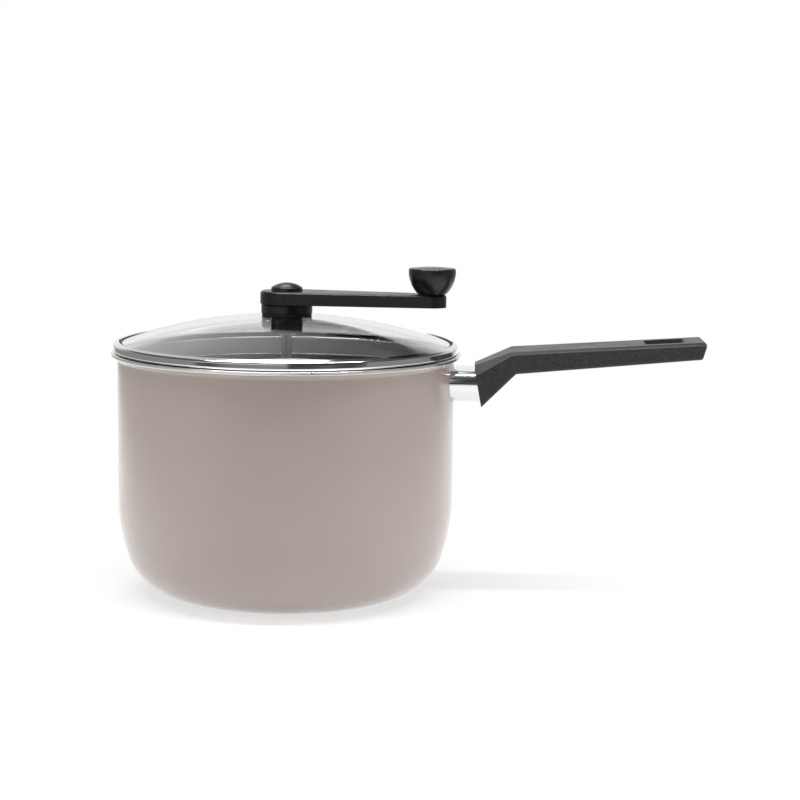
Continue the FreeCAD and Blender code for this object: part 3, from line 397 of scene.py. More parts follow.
@dataclass(frozen=True)
class ClearGlass(Finish):
    """Tempered soda-lime glass, with the very slow waviness that bending the hot sheet leaves."""

    refraction: float = 1.52
    wave_mm: float = 45.0
    wave_depth_mm: float = 0.01

    def detail(self, skin: Skin) -> None:
        """Makes the surface clear and slightly wavy.

        Args:
            skin: The material while it is built.
        """
        feed(skin.tree, skin.surface, {"Transmission Weight": 1.0, "IOR": self.refraction})
        skin.relief(skin.mottle(self.wave_mm, layers=0.0), self.wave_depth_mm)


# Ceramic coat, sprayed and baked: one warm grey under a smooth skin, whose soft shine runs down the wall.
WARM_GREY_COAT = SprayedCoat("warm_grey_ceramic_coat", "coated_pot", "#93867F", 0.5, tint="#958881",
                             coat=1.0, coat_roughness=0.22)
# Nonstick coat, sprayed: dull and nearly black, with pale mica flecks drawn larger than the real ones.
DARK_COAT = SprayedCoat("dark_nonstick_coat", "coated_pot", "#3B3A3A", 0.42, tint="#413F3F", coat=0.1,
                        fleck="#77716D")
# Aluminium turned and left bare: pale, with fine rings that draw each lamp out into a soft bright line.
TURNED_RIM = BareMetal("turned_aluminium_rim", "coated_pot", "#F2F0EC", 0.3, lay=Lay.AROUND_Z)
# The same metal faced off at a coarser feed: a greyer base with rings that can be told apart.
TURNED_BASE = BareMetal("turned_aluminium_base", "coated_pot", "#CFCDCA", 0.34, lay=Lay.AROUND_Z,
                        mark_mm=0.8, mark_depth_mm=0.01)
# Stainless tube, polished to a mirror: it shows the room as sharp bands that run along the handle.
BRIGHT_FERRULE = BareMetal("polished_ferrule_steel", "bright_steel", "#DBDCDD", 0.06, lay=Lay.ALONG_X,
                           mark_depth_mm=0.0001, smear=0.01)
# Stainless sheet, rolled and polished: a mirror bent a little by the rolling, so that its bands waver.
ROLLED_BAND = RolledSheet("rolled_band_stainless", "polished_band", "#D2D2D2", 0.1, lay=Lay.AROUND_Z,
                          mark_depth_mm=0.0006, wave_mm=22.0, wave_depth_mm=0.01, smear=0.02)
# Stainless bar, drawn and brushed lengthwise: an even satin grey with one soft streak.
SATIN_SHAFT = BareMetal("satin_shaft_stainless", "satin_steel", "#8F8F90", 0.4, lay=Lay.ALONG_Z)
# Stainless wire, drawn and tumbled: a lighter satin with no direction in it.
SATIN_WIRE = BareMetal("satin_wire_stainless", "satin_steel", "#A9A9AA", 0.3)
# Steel, zinc plated: a slightly blue grey that shines without showing a picture of the room.
ZINC_PLATE = BareMetal("zinc_plated_steel", "zinc_steel", "#B4B8BC", 0.3)
# Aluminium as it was cast: dull, with the pitted skin of its mould.
CAST_SADDLE = BareMetal("cast_aluminium_saddle", "cast_aluminium", "#A7A8A9", 0.55, mark_mm=0.9,
                        mark_depth_mm=0.03)
# Aluminium wire, drawn and headed cold: a clean pale metal.
DRAWN_RIVET = BareMetal("drawn_aluminium_rivet", "rivet_aluminium", "#CACBCC", 0.3)
# Brass, turned: warm yellow with fine rings.
TURNED_BRASS = BareMetal("turned_bush_brass", "bush_brass", "#B08A45", 0.28, lay=Lay.AROUND_Z)
# Glass filled nylon, moulded in an etched mould: deep black, whose grain spreads a lamp into a grey haze.
BLACK_NYLON = MouldedPlastic("black_glass_filled_nylon", "black_nylon", "#050506", 0.33)
# The same plastic from a finer mould: black, with a soft shine round the bowl.
KNOB_NYLON = MouldedPlastic("black_knob_nylon", "black_nylon", "#0A0A0B", 0.32, grain_depth_mm=0.008)
# Nylon from a polished mould: a dome that shows the lamps as pale patches.
POLISHED_CAP = MouldedPlastic("polished_cap_nylon", "glossy_cap", "#141415", 0.32, grain_depth_mm=0.004)
# Nylon from a better polished mould: a disc that shows the lamp above it as one light patch.
POLISHED_DISC = MouldedPlastic("polished_disc_nylon", "black_nylon", "#0C0C0D", 0.24, grain_depth_mm=0.004)
# Filled phenolic resin, pressed in an etched mould: dark matte grey with a faint, lighter speckle.
GRIP_RESIN = MouldedPlastic("speckled_phenolic_resin", "grip_phenolic", "#29292B", 0.38, grain_mm=0.7,
                            grain_depth_mm=0.02, speckle="#3E3E40", sheen=0.25)
# Silicone rubber, moulded: a flat black that takes almost no highlight.
SEAL_RUBBER = MouldedPlastic("black_silicone_rubber", "black_silicone", "#1A1A1A", 0.6)
# Acetal, turned from bar: milky white with a waxy shine.
TURNED_ACETAL = MouldedPlastic("natural_acetal", "white_acetal", "#E2E1DA", 0.35)
# Glass, bent hot and tempered: clear, with reflections that bend a little as they cross the dome.
LID_GLASS = ClearGlass("tempered_lid_glass", "tempered_glass", "#FCFCFC", 0.0)


# ---------------------------------------------------------------- turned pieces
@dataclass
class Section:
    """Section of a turned piece: radius and height points, with the finish of the stretch after each."""

    points: list[Point] = field(default_factory=list)
    finishes: list[int] = field(default_factory=list)

    def to(self, radius: float, height: float, finish: int = 0) -> "Section":
        """Adds one point.

        Args:
            radius: Distance from the axis.
            height: Height of the point.
            finish: Finish of the stretch after it.

        Returns:
            The section itself.
        """
        self.points.append((radius, height))
        self.finishes.append(finish)
        return self

    def arc(self, centre: Point, radius: float, start: float, end: float, finish: int = 0,
            steps: int = 8) -> "Section":
        """Adds points on an arc.

        Args:
            centre: Radius and height of the arc's centre.
            radius: Radius of the arc.
            start: First direction in degrees, from the outward radius upwards.
            end: Last direction in degrees.
            finish: Finish of the stretch.
            steps: Number of chords.

        Returns:
            The section itself.
        """
        for step in range(steps + 1):
            angle = math.radians(start + (end - start) * step / steps)
            self.to(centre[0] + radius * math.cos(angle), centre[1] + radius * math.sin(angle), finish)
        return self

    def through(self, start: Point, middle: Point, end: Point, finish: int = 0,
                steps: int = 8) -> "Section":
        """Adds points on the arc that runs through three points.

        Args:
            start: First point of the arc.
            middle: Point that it passes.
            end: Last point.
            finish: Finish of the stretch.
            steps: Number of chords.

        Returns:
            The section itself.
        """
        one, two = Vector(middle) - Vector(start), Vector(end) - Vector(start)
        twist = 2 * (one.x * two.y - one.y * two.x)
        offset = Vector((two.y * one.length_squared - one.y * two.length_squared,
                         one.x * two.length_squared - two.x * one.length_squared)) / twist
        centre = Vector(start) + offset
        first, last = Vector(start) - centre, Vector(end) - centre
        from_angle = math.degrees(math.atan2(first.y, first.x))
        to_angle = math.degrees(math.atan2(last.y, last.x))
        return self.arc((centre.x, centre.y), offset.length, from_angle, to_angle, finish, steps)

    def corner(self, before: Point, corner: Point, after: Point, radius: float, finish: int = 0,
               steps: int = 6) -> "Section":
        """Adds a rounded corner between two straight stretches.

        Args:
            before: Any point on the stretch that comes in.
            corner: The sharp corner.
            after: Any point on the stretch that goes out.
            radius: Radius of the round.
            finish: Finish of the round and of the stretch after it.
            steps: Number of chords.

        Returns:
            The section itself.
        """
        back = (Vector(before) - Vector(corner)).normalized()
        ahead = (Vector(after) - Vector(corner)).normalized()
        half = back.angle(ahead) / 2
        centre = Vector(corner) + (back + ahead).normalized() * (radius / math.sin(half))
        reach = radius / math.tan(half)
        start = Vector(corner) + back * reach - centre
        end = Vector(corner) + ahead * reach - centre
        turn = math.copysign(math.pi - 2 * half, start.x * end.y - start.y * end.x)
        for step in range(steps + 1):
            angle = turn * step / steps
            point = centre + Vector((start.x * math.cos(angle) - start.y * math.sin(angle),
                                     start.x * math.sin(angle) + start.y * math.cos(angle)))
            self.to(point.x, point.y, finish)
        return self

    def closed_mesh(self, name: str) -> bpy.types.Mesh:
        """Writes the section as a chain of points that ends where it starts, with the solid on its left.

        Args:
            name: Name of the mesh.

        Returns:
            The chain, with the stretches' finishes as an attribute.
        """
        points, finishes = list(self.points), list(self.finishes)
        following = points[1:] + points[:1]
        area = sum(a[0] * b[1] - b[0] * a[1] for a, b in zip(points, following))
        if area < 0:
            points.reverse()
            finishes = finishes[-2::-1] + finishes[-1:]
        points.append(points[0])
        finishes.append(finishes[0])
        mesh = bpy.data.meshes.new(name)
        edges = [(number, number + 1) for number in range(len(points) - 1)]
        mesh.from_pydata([(radius, 0.0, height) for radius, height in points], edges, [])
        attribute = mesh.attributes.new("finish", "INT", "POINT")
        attribute.data.foreach_set("value", finishes)
        return mesh


def lathe_tree(finish_count: int) -> Tree:
    """Builds the Geometry Nodes tree that turns a section round the Z axis.

    Args:
        finish_count: Number of materials that the section's stretches name.

    Returns:
        A tree with the inputs Section, Segments, Section Points and one Finish per material.
    """
    tree = bpy.data.node_groups.new(f"lathe_{finish_count}", "GeometryNodeTree")
    inputs = [("Section", "Geometry"), ("Segments", "Int"), ("Section Points", "Int")]
    inputs += [(f"Finish {number}", "Material") for number in range(finish_count)]
    for name, kind in inputs:
        tree.interface.new_socket(name, in_out="INPUT", socket_type="NodeSocket" + kind)
    tree.interface.new_socket("Geometry", in_out="OUTPUT", socket_type="NodeSocketGeometry")
    given = add_node(tree, "NodeGroupInput").outputs
    section, segments, rows = given["Section"], given["Segments"], given["Section Points"]

    # A flat grid has one column per step round the axis and one row per point of the section.
    columns = add_node(tree, "ShaderNodeMath", (segments, 1.0), operation="ADD")
    sheet = add_node(tree, "GeometryNodeMeshGrid", {"Vertices X": columns, "Vertices Y": rows})
    index = add_node(tree, "GeometryNodeInputIndex")
    row = add_node(tree, "FunctionNodeIntegerMath", (index, rows), operation="MODULO")
    column = add_node(tree, "FunctionNodeIntegerMath", (index, rows), operation="DIVIDE_FLOOR")

    # Each of its points goes to the section's point of its row, turned by its column's share of a circle.
    spot = add_node(tree, "GeometryNodeInputPosition")
    section_spot = add_node(tree, "GeometryNodeSampleIndex", (section, spot, row),
                            data_type="FLOAT_VECTOR", domain="POINT")
    share = add_node(tree, "ShaderNodeMath", (column, segments), operation="DIVIDE")
    angle = add_node(tree, "ShaderNodeMath", (share, 2 * math.pi), operation="MULTIPLY")
    turned = add_node(tree, "ShaderNodeVectorRotate", {"Vector": section_spot, "Angle": angle},
                      rotation_type="Z_AXIS")
    placed = add_node(tree, "GeometryNodeSetPosition", {"Geometry": sheet, "Position": turned})

    # Each face takes the finish of the stretch that its row starts from.
    face_rows = add_node(tree, "FunctionNodeIntegerMath", (rows, 1), operation="SUBTRACT")
    face_row = add_node(tree, "FunctionNodeIntegerMath", (index, face_rows), operation="MODULO")
    finish = add_node(tree, "GeometryNodeInputNamedAttribute", ("finish",), data_type="INT")
    face_finish = add_node(tree, "GeometryNodeSampleIndex", (section, finish, face_row), data_type="INT",
                           domain="POINT")
    shape = add_node(tree, "GeometryNodeRealizeInstances", {"Geometry": placed})
    for number in range(finish_count):
        chosen = add_node(tree, "FunctionNodeCompare", {2: face_finish, 3: number}, data_type="INT",
                          operation="EQUAL")
        shape = add_node(tree, "GeometryNodeSetMaterial", (shape, chosen, given[f"Finish {number}"]))
    add_node(tree, "NodeGroupOutput", {"Geometry": shape})
    return tree


def set_inputs(modifier: bpy.types.NodesModifier, values: dict[str, Any]) -> None:
    """Sets a Geometry Nodes modifier's inputs by their identifiers.

    Args:
        modifier: Modifier whose tree is set.
        values: Value for each input, by the input's name.
    """
    for item in modifier.node_group.interface.items_tree:
        if item.item_type == "SOCKET" and item.in_out == "INPUT" and item.name in values:
            modifier[item.identifier] = values[item.name]


def placed_object(name: str, mesh: bpy.types.Mesh) -> Piece:
    """Makes an object of a mesh, in the scene and at the origin.

    Args:
        name: Name of the object.
        mesh: Its mesh.

    Returns:
        The object.
    """
    piece = bpy.data.objects.new(name, mesh)
    bpy.context.scene.collection.objects.link(piece)
    return piece


def baked(source: Piece, name: str) -> Piece:
    """Turns an object with live modifiers into a plain mesh object and removes the source.

    Args:
        source: Object whose modifiers make the shape.
        name: Name of the finished piece.

    Returns:
        The finished piece at the origin.
    """
    bpy.context.view_layer.update()
    evaluated = source.evaluated_get(bpy.context.evaluated_depsgraph_get())
    mesh = bpy.data.meshes.new_from_object(evaluated)
    data = source.data
    bpy.data.objects.remove(source)
    bpy.data.meshes.remove(data)
    mesh.name = name
    return placed_object(name, mesh)


def merge_and_smooth(piece: Piece, crease_degrees: float = 32.0, merge_distance: float = 0.002 * MM,
                     shortest_edge: float = 0.001 * MM) -> Piece:
    """Joins coincident points and shades the mesh smooth between its creases, with large faces kept flat.

    Args:
        piece: Mesh object to finish.
        crease_degrees: Edges that turn more than this stay sharp.
        merge_distance: Points closer than this become one.
        shortest_edge: Edges shorter than this are closed up.

    Returns:
        The finished piece.
    """
    shape = bmesh.new()
    shape.from_mesh(piece.data)
    bmesh.ops.remove_doubles(shape, verts=shape.verts, dist=merge_distance)
    bmesh.ops.dissolve_degenerate(shape, edges=shape.edges, dist=shortest_edge)
    bmesh.ops.recalc_face_normals(shape, faces=shape.faces)
    shape.to_mesh(piece.data)
    shape.free()
    piece.data.shade_smooth()
    piece.data.set_sharp_from_angle(angle=math.radians(crease_degrees))
    weights = piece.modifiers.new("face_weights", "WEIGHTED_NORMAL")
    weights.keep_sharp = True
    return baked(piece, piece.name)


@dataclass
class Lathe:
    """Turns sections into finished pieces, with one shared tree per number of finishes."""

    trees: dict[int, Tree] = field(default_factory=dict)

    def turn(self, name: str, section: Section, finishes: Sequence[Finish], segments: int = 192) -> Piece:
        """Turns one piece round the Z axis.

        Args:
            name: Name of the piece.
            section: Its closed section.
            finishes: Finishes that the section's numbers stand for.
            segments: Number of steps round the axis.

        Returns:
            The piece as a plain mesh object.
        """
        count = len(finishes)
        if count not in self.trees:
            self.trees[count] = lathe_tree(count)
        mesh = section.closed_mesh(name + "_section")
        source = placed_object(name + "_section", mesh)
        modifier = source.modifiers.new("lathe", "NODES")
        modifier.node_group = self.trees[count]
        values: dict[str, Any] = {"Segments": segments, "Section Points": len(mesh.vertices)}
        for number, finish in enumerate(finishes):
            values[f"Finish {number}"] = finish.material()
        set_inputs(modifier, values)
        return merge_and_smooth(baked(source, name))


# ---------------------------------------------------------------- attaching to the frame
def stand_in(piece: Piece, node: str, body: str) -> None:
    """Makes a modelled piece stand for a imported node.

    Args:
        piece: Finished piece in the frame's place.
        node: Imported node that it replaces.
        body: Body that it moves with.
    """
    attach(piece, body)
    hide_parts(node)
    LOG.info("%s stands for node %s on %s, %d faces", piece.name, node, body, len(piece.data.polygons))


def dress(node: str, finish: Finish) -> None:
    """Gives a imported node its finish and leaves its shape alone.

    Args:
        node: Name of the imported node.
        finish: Its finish.
    """
    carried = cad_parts[node]
    carried.data.materials.clear()
    carried.data.materials.append(finish.material())
    LOG.info("%s keeps its packed shape in %s", node, finish.name)


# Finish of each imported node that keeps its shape.
Dressing = dict[str, Finish]


@dataclass
class SubAssembly:
    """Group of pieces of the object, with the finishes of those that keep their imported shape."""

    finishes: ClassVar[Dressing] = {}

    def build(self) -> None:
        """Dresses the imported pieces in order."""
        for node, finish in self.finishes.items():
            dress(node, finish)


# ---------------------------------------------------------------- pot
class Stretch(IntEnum):
    """Stretches of the pot's section that differ in finish."""

    OUTSIDE = 0
    INSIDE = 1
    RIM = 2
    BASE = 3


@dataclass
class Pot(SubAssembly):
    """Pressed saucepan shell with its coats, turned rim and machined base."""

    lathe: Lathe
    mouth_radius: float = 100 * MM
    wall: float = 2 * MM
    floor: float = 3 * MM
    corner_radius: float = 33.5 * MM
    belly_radius: float = 114 * MM
    base_set_in: float = 37.7 * MM
    base_edge: float = 0.2 * MM
    corner_steps: int = 24
    belly_steps: int = 20
    lip_overhang: float = 3.7 * MM
    lip_thickness: float = 2 * MM
    cove_radius: float = 3.3 * MM
    roll_radius: float = 3.4 * MM
    lip_edge: float = 0.4 * MM
    groove_radii: tuple[float, ...] = (22 * MM, 36 * MM, 50 * MM)
    groove_width: float = 1.6 * MM
    groove_depth: float = 0.4 * MM
    finishes: ClassVar[Dressing] = {"handle_bracket": CAST_SADDLE, "handle_rivets": DRAWN_RIVET}

    def bowl(self, section: Section, inset: float, floor: float, finish: Stretch, downwards: bool) -> None:
        """Adds the bowl's two arcs between the flat floor and the straight wall.

        Args:
            section: Section that gets the arcs.
            inset: How far this side lies inside the outer one.
            floor: Height of this side of the floor.
            finish: Finish of this side.
            downwards: Whether the walk comes from the wall.
        """
        wall_radius = self.mouth_radius + self.wall - inset
        corner_radius, belly_radius = self.corner_radius - inset, self.belly_radius - inset
        base = self.mouth_radius + self.wall - self.base_set_in
        angle = math.acos((belly_radius - wall_radius + base) / (belly_radius - corner_radius))
        rise = (belly_radius - corner_radius) * math.sin(angle)
        meeting = -math.degrees(angle)
        belly_centre = (wall_radius - belly_radius, floor + corner_radius + rise)
        arcs = [((base, floor + corner_radius), corner_radius, -90.0, meeting, self.corner_steps),
                (belly_centre, belly_radius, meeting, 0.0, self.belly_steps)]
        if downwards:
            arcs = [(centre, radius, end, start, steps)
                    for centre, radius, start, end, steps in reversed(arcs)]
        for centre, radius, start, end, steps in arcs:
            section.arc(centre, radius, start, end, finish, steps)

    def shell(self) -> None:
        """Turns the shell: base rings, outside coat, cove, bare rim, roll and dark inside."""
        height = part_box("pot_shell")[1].z
        mouth, wall = self.mouth_radius, self.mouth_radius + self.wall
        lip = wall + self.lip_overhang
        under = height - self.lip_thickness
        section = Section().to(0, 0, Stretch.BASE)
        for radius in self.groove_radii:
            section.to(radius - self.groove_width / 2, 0, Stretch.BASE)
            section.to(radius, self.groove_depth, Stretch.BASE)
            section.to(radius + self.groove_width / 2, 0, Stretch.BASE)
        section.to(wall - self.base_set_in - self.base_edge, 0, Stretch.OUTSIDE)
        self.bowl(section, 0.0, 0.0, Stretch.OUTSIDE, False)
        section.corner((wall, 0), (wall, under), (lip, under), self.cove_radius, Stretch.OUTSIDE, steps=8)
        section.corner((wall, under), (lip, under), (lip, height), self.lip_edge, Stretch.RIM, steps=4)
        section.corner((lip, under), (lip, height), (mouth, height), self.lip_edge, Stretch.RIM, steps=4)
        section.corner((lip, height), (mouth, height), (mouth, 0), self.roll_radius, Stretch.INSIDE,
                       steps=8)
        self.bowl(section, self.wall, self.floor, Stretch.INSIDE, True)
        section.to(0, self.floor, Stretch.INSIDE)
        finishes = (WARM_GREY_COAT, DARK_COAT, TURNED_RIM, TURNED_BASE)
        piece = self.lathe.turn("coated_pot_shell", section, finishes, segments=256)
        stand_in(piece, "pot_shell", "pot")

    def build(self) -> None:
        """Makes the shell and dresses the pieces on its wall."""
        self.shell()
        super().build()


@dataclass
class Handle(SubAssembly):
    """Bright ferrule, bent grip and the screw between them."""

    wall_radius: float = 102 * MM
    seat_gap: float = 0.05 * MM
    ferrule_length: float = 12.6 * MM
    ferrule_wall: float = 1.2 * MM
    top_corner: float = 5.5 * MM
    bottom_corner: float = 12.4 * MM
    crown: float = 0.5 * MM
    bore_top_corner: float = 2.9 * MM
    bore_bottom_corner: float = 10.7 * MM
    bore_crown: float = 0.01 * MM
    grip_over_axis: float = 12.5 * MM
    grip_under_axis: float = 11.1 * MM
    end_rake: float = 4.4 * MM
    finishes: ClassVar[Dressing] = {
        "handle_grip": GRIP_RESIN, "handle_screw": ZINC_PLATE, "handle_lock_washer": ZINC_PLATE}

    def ferrule_outline(self, inset: float, above: float, below: float, crown: float) -> list[Point]:
        """Lists (y, z) points round the ferrule: crowned above, tight upper and wide lower corners.

        Args:
            inset: How far the outline lies inside the tube's outer face.
            above: Radius of the upper corners.
            below: Radius of the lower corners.
            crown: How far the middle of the top stands over its ends.

        Returns:
            Points in order, with the tube's axis on their left.
        """
        low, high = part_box("handle_ferrule")
        half, bottom, top = high.y - inset, low.z + inset, high.z - inset
        reach = half - above
        ball = (reach ** 2 + crown ** 2) / (2 * crown)
        lean = math.asin(reach / ball)
        shoulder = top - crown
        corner = shoulder - above * math.tan(lean)
        outline = Section()
        outline.corner((-half, bottom), (half, bottom), (half, corner), below, steps=16)
        outline.corner((half, bottom), (half, corner), (reach, shoulder), above, steps=8)
        outline.arc((0, top - ball), ball, 90 - math.degrees(lean), 90 + math.degrees(lean), steps=16)
        outline.corner((-reach, shoulder), (-half, corner), (-half, bottom), above, steps=8)
        outline.corner((-half, corner), (-half, bottom), (half, bottom), below, steps=16)
        return outline.points

    def ferrule(self) -> None:
        """Makes the tube, saddle-cut to the pot and raked to the grip's end face."""
        low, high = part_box("handle_ferrule")
        grip_top = (low.z + high.z) / 2 + self.grip_over_axis
        grip_start = self.wall_radius + self.ferrule_length - self.seat_gap
        rake = self.end_rake / (self.grip_over_axis + self.grip_under_axis)
        outer = self.ferrule_outline(0.0, self.top_corner, self.bottom_corner, self.crown)
        inner = self.ferrule_outline(self.ferrule_wall, self.bore_top_corner, self.bore_bottom_corner,
                                     self.bore_crown)

        def at_pot(y: float) -> float:
            """X of the pot's wall beside one point."""
            return math.sqrt((self.wall_radius + self.seat_gap) ** 2 - y ** 2)

        def at_grip(z: float) -> float:
            """X of the grip's end face at one height."""
            return grip_start + (grip_top - z) * rake

        rings = [[(at_pot(y), y, z) for y, z in outer], [(at_grip(z), y, z) for y, z in outer],
                 [(at_grip(z), y, z) for y, z in inner], [(at_pot(y), y, z) for y, z in inner]]
        count = len(outer)
        faces = []
        for ring in range(len(rings)):
            here, there = ring * count, (ring + 1) % len(rings) * count
            for step in range(count):
                ahead = (step + 1) % count
                faces.append((here + step, here + ahead, there + ahead, there + step))
        mesh = bpy.data.meshes.new("bright_ferrule")
        mesh.from_pydata([point for ring in rings for point in ring], [], faces)
        mesh.materials.append(BRIGHT_FERRULE.material())
        piece = merge_and_smooth(placed_object("bright_ferrule", mesh))
        stand_in(piece, "handle_ferrule", "pot")

    def build(self) -> None:
        """Makes the ferrule and dresses the handle's other pieces."""
        self.ferrule()
        super().build()


# ---------------------------------------------------------------- lid
@dataclass
class Lid(SubAssembly):
    """Domed glass in its rolled steel band."""

    lathe: Lathe
    dome_radius: float = 297 * MM
    thickness: float = 3.2 * MM
    hole_radius: float = 6.9 * MM
    ground_edge: float = 0.3 * MM
    finishes: ClassVar[Dressing] = {"lid_band": ROLLED_BAND, "lid_edge_seal": SEAL_RUBBER}

    def glass(self) -> None:
        """Turns the dome with a ground edge and the hole for the bearing's sleeve."""
        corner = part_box("lid_glass")[1]
        edge, outer, inner = corner.x, self.dome_radius, self.dome_radius - self.thickness
        centre = corner.z - math.sqrt(outer ** 2 - self.hole_radius ** 2)
        trimmed = edge - self.ground_edge

        def direction(radius: float, ball: float) -> float:
            """Angle of the point of a ball at one distance from the axis."""
            return math.degrees(math.acos(radius / ball))

        section = Section()
        hole = self.hole_radius
        section.arc((0, centre), outer, direction(trimmed, outer), direction(hole, outer), steps=48)
        section.arc((0, centre), inner, direction(hole, inner), direction(trimmed, inner), steps=48)
        section.to(edge, centre + math.sqrt(inner ** 2 - edge ** 2) + self.ground_edge)
        section.to(edge, centre + math.sqrt(outer ** 2 - edge ** 2) - self.ground_edge)
        piece = self.lathe.turn("domed_lid_glass", section, (LID_GLASS,), segments=256)
        stand_in(piece, "lid_glass", "lid")

    def build(self) -> None:
        """Makes the glass and dresses the band and its seal."""
        self.glass()
        super().build()


@dataclass
class Bearing(SubAssembly):
    """Collar, seals, nut and bush that carry the shaft in the glass."""

    finishes: ClassVar[Dressing] = {
        "bearing_boss": BLACK_NYLON, "upper_seal_washer": SEAL_RUBBER, "lower_seal_washer": SEAL_RUBBER,
        "boss_nut": BLACK_NYLON, "bearing_bush": TURNED_BRASS}


# ---------------------------------------------------------------- crank
@dataclass
class Crank(SubAssembly):
    """Arm, cap and the fasteners that hold the arm on the shaft."""

    finishes: ClassVar[Dressing] = {
        "crank_arm": BLACK_NYLON, "hub_cap": POLISHED_CAP, "arm_screw": ZINC_PLATE,
        "arm_washer": ZINC_PLATE, "knob_spindle": ZINC_PLATE}


@dataclass
class Stirrer(SubAssembly):
    """Shaft, hub and bent wire that sweep the floor."""

    finishes: ClassVar[Dressing] = {
        "stirrer_shaft": SATIN_SHAFT, "shaft_clip": ZINC_PLATE, "stirrer_hub": SATIN_WIRE,
        "stirrer_vane": SATIN_WIRE, "stirrer_pin": ZINC_PLATE, "shaft_foot": TURNED_ACETAL}


@dataclass
class Knob(SubAssembly):
    """Bowl-shaped knob with its nearly flat disc."""

    lathe: Lathe
    neck_radius: float = 8.6 * MM
    waist_radius: float = 12.9 * MM
    waist_height: float = 6.6 * MM
    rim_radius: float = 14.1 * MM
    rim_edge: float = 0.9 * MM
    disc_radius: float = 12.4 * MM
    disc_gap: float = 0.1 * MM
    disc_seat: float = 1.9 * MM
    disc_edge: float = 0.35 * MM
    disc_crown: float = 0.9 * MM
    spindle_bore: float = 3.06 * MM
    head_pocket: float = 5.0 * MM
    head_gap: float = 0.175 * MM
    spindle_head: float = 2.4 * MM

    def on_spindle(self, piece: Piece, node: str, finish: Finish) -> None:
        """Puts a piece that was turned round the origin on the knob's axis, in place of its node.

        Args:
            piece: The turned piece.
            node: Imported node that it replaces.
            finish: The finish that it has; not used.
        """
        low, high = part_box("crank_knob")
        piece.data.transform(Matrix.Translation(((low.x + high.x) / 2, (low.y + high.y) / 2, 0)))
        stand_in(piece, node, "knob")

    def bowl(self) -> None:
        """Turns the bowl with the bore and pocket of its spindle and the seat of its disc."""
        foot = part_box("crank_knob")[0].z
        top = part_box("knob_cap")[1].z - self.disc_crown
        seat = top - self.disc_seat
        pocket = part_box("knob_spindle")[1].z - self.spindle_head - self.head_gap
        section = Section().to(self.spindle_bore, foot).to(self.neck_radius, foot)
        section.through((self.neck_radius, foot), (self.waist_radius, foot + self.waist_height),
                        (self.rim_radius, top - self.rim_edge), steps=20)
        section.arc((self.rim_radius - self.rim_edge, top - self.rim_edge), self.rim_edge, 0, 90)
        seat_radius = self.disc_radius + self.disc_gap
        section.to(seat_radius, top).to(seat_radius, seat).to(self.head_pocket, seat)
        section.to(self.head_pocket, pocket).to(self.spindle_bore, pocket)
        self.on_spindle(self.lathe.turn("bowl_knob", section, (KNOB_NYLON,)), "crank_knob", KNOB_NYLON)

    def disc(self) -> None:
        """Turns the disc, slightly crowned, that closes the bowl."""
        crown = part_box("knob_cap")[1].z
        top = crown - self.disc_crown
        ball = (self.disc_radius ** 2 + self.disc_crown ** 2) / (2 * self.disc_crown)
        rim = math.degrees(math.acos((self.disc_radius - self.disc_edge) / ball))
        section = Section().to(0, top - self.disc_seat).to(self.disc_radius, top - self.disc_seat)
        section.to(self.disc_radius, top - self.disc_edge)
        section.arc((0, crown - ball), ball, rim, 90, steps=24)
        self.on_spindle(self.lathe.turn("knob_disc", section, (POLISHED_DISC,)), "knob_cap", POLISHED_DISC)

    def build(self) -> None:
        """Makes the knob's two pieces."""
        self.bowl()
        self.disc()


# ---------------------------------------------------------------- studio
@dataclass(frozen=True)
class Lamp:
    """Soft rectangular lamp."""

    name: str
    place: Place
    target: Place
    window: Point
    watts: float
    mirrored: bool = True

    def hang(self) -> None:
        """Hangs the lamp facing its target, unseen by the camera."""
        data = bpy.data.lights.new(self.name, "AREA")
        data.shape = "RECTANGLE"
        data.size, data.size_y = self.window
        data.energy = self.watts
        lamp = bpy.data.objects.new(self.name, data)
        aim = (Vector(self.target) - Vector(self.place)).to_track_quat("-Z", "Y")
        lamp.matrix_world = Matrix.Translation(self.place) @ aim.to_matrix().to_4x4()
        lamp.visible_camera = False
        lamp.visible_glossy = self.mirrored
        bpy.context.scene.collection.objects.link(lamp)


@dataclass(frozen=True)
class Card:
    """Upright card, white or black, with its left and right edge and its lower and upper one."""

    name: str
    white: bool
    across: Point
    upward: Point


def flat_card(name: str, size: Point, matrix: Matrix, material: bpy.types.Material) -> Piece:
    """Makes a flat rectangle that isn't part of the object.

    Args:
        name: Name of the rectangle.
        size: Its width and depth.
        matrix: Where its centre goes and how it is turned.
        material: Its material.

    Returns:
        The rectangle.
    """
    half_x, half_y = size[0] / 2, size[1] / 2
    mesh = bpy.data.meshes.new(name)
    corners = [(-half_x, -half_y, 0), (half_x, -half_y, 0), (half_x, half_y, 0), (-half_x, half_y, 0)]
    mesh.from_pydata(corners, [], [(0, 1, 2, 3)])
    mesh.materials.append(material)
    card = placed_object(name, mesh)
    card.matrix_world = matrix
    return card


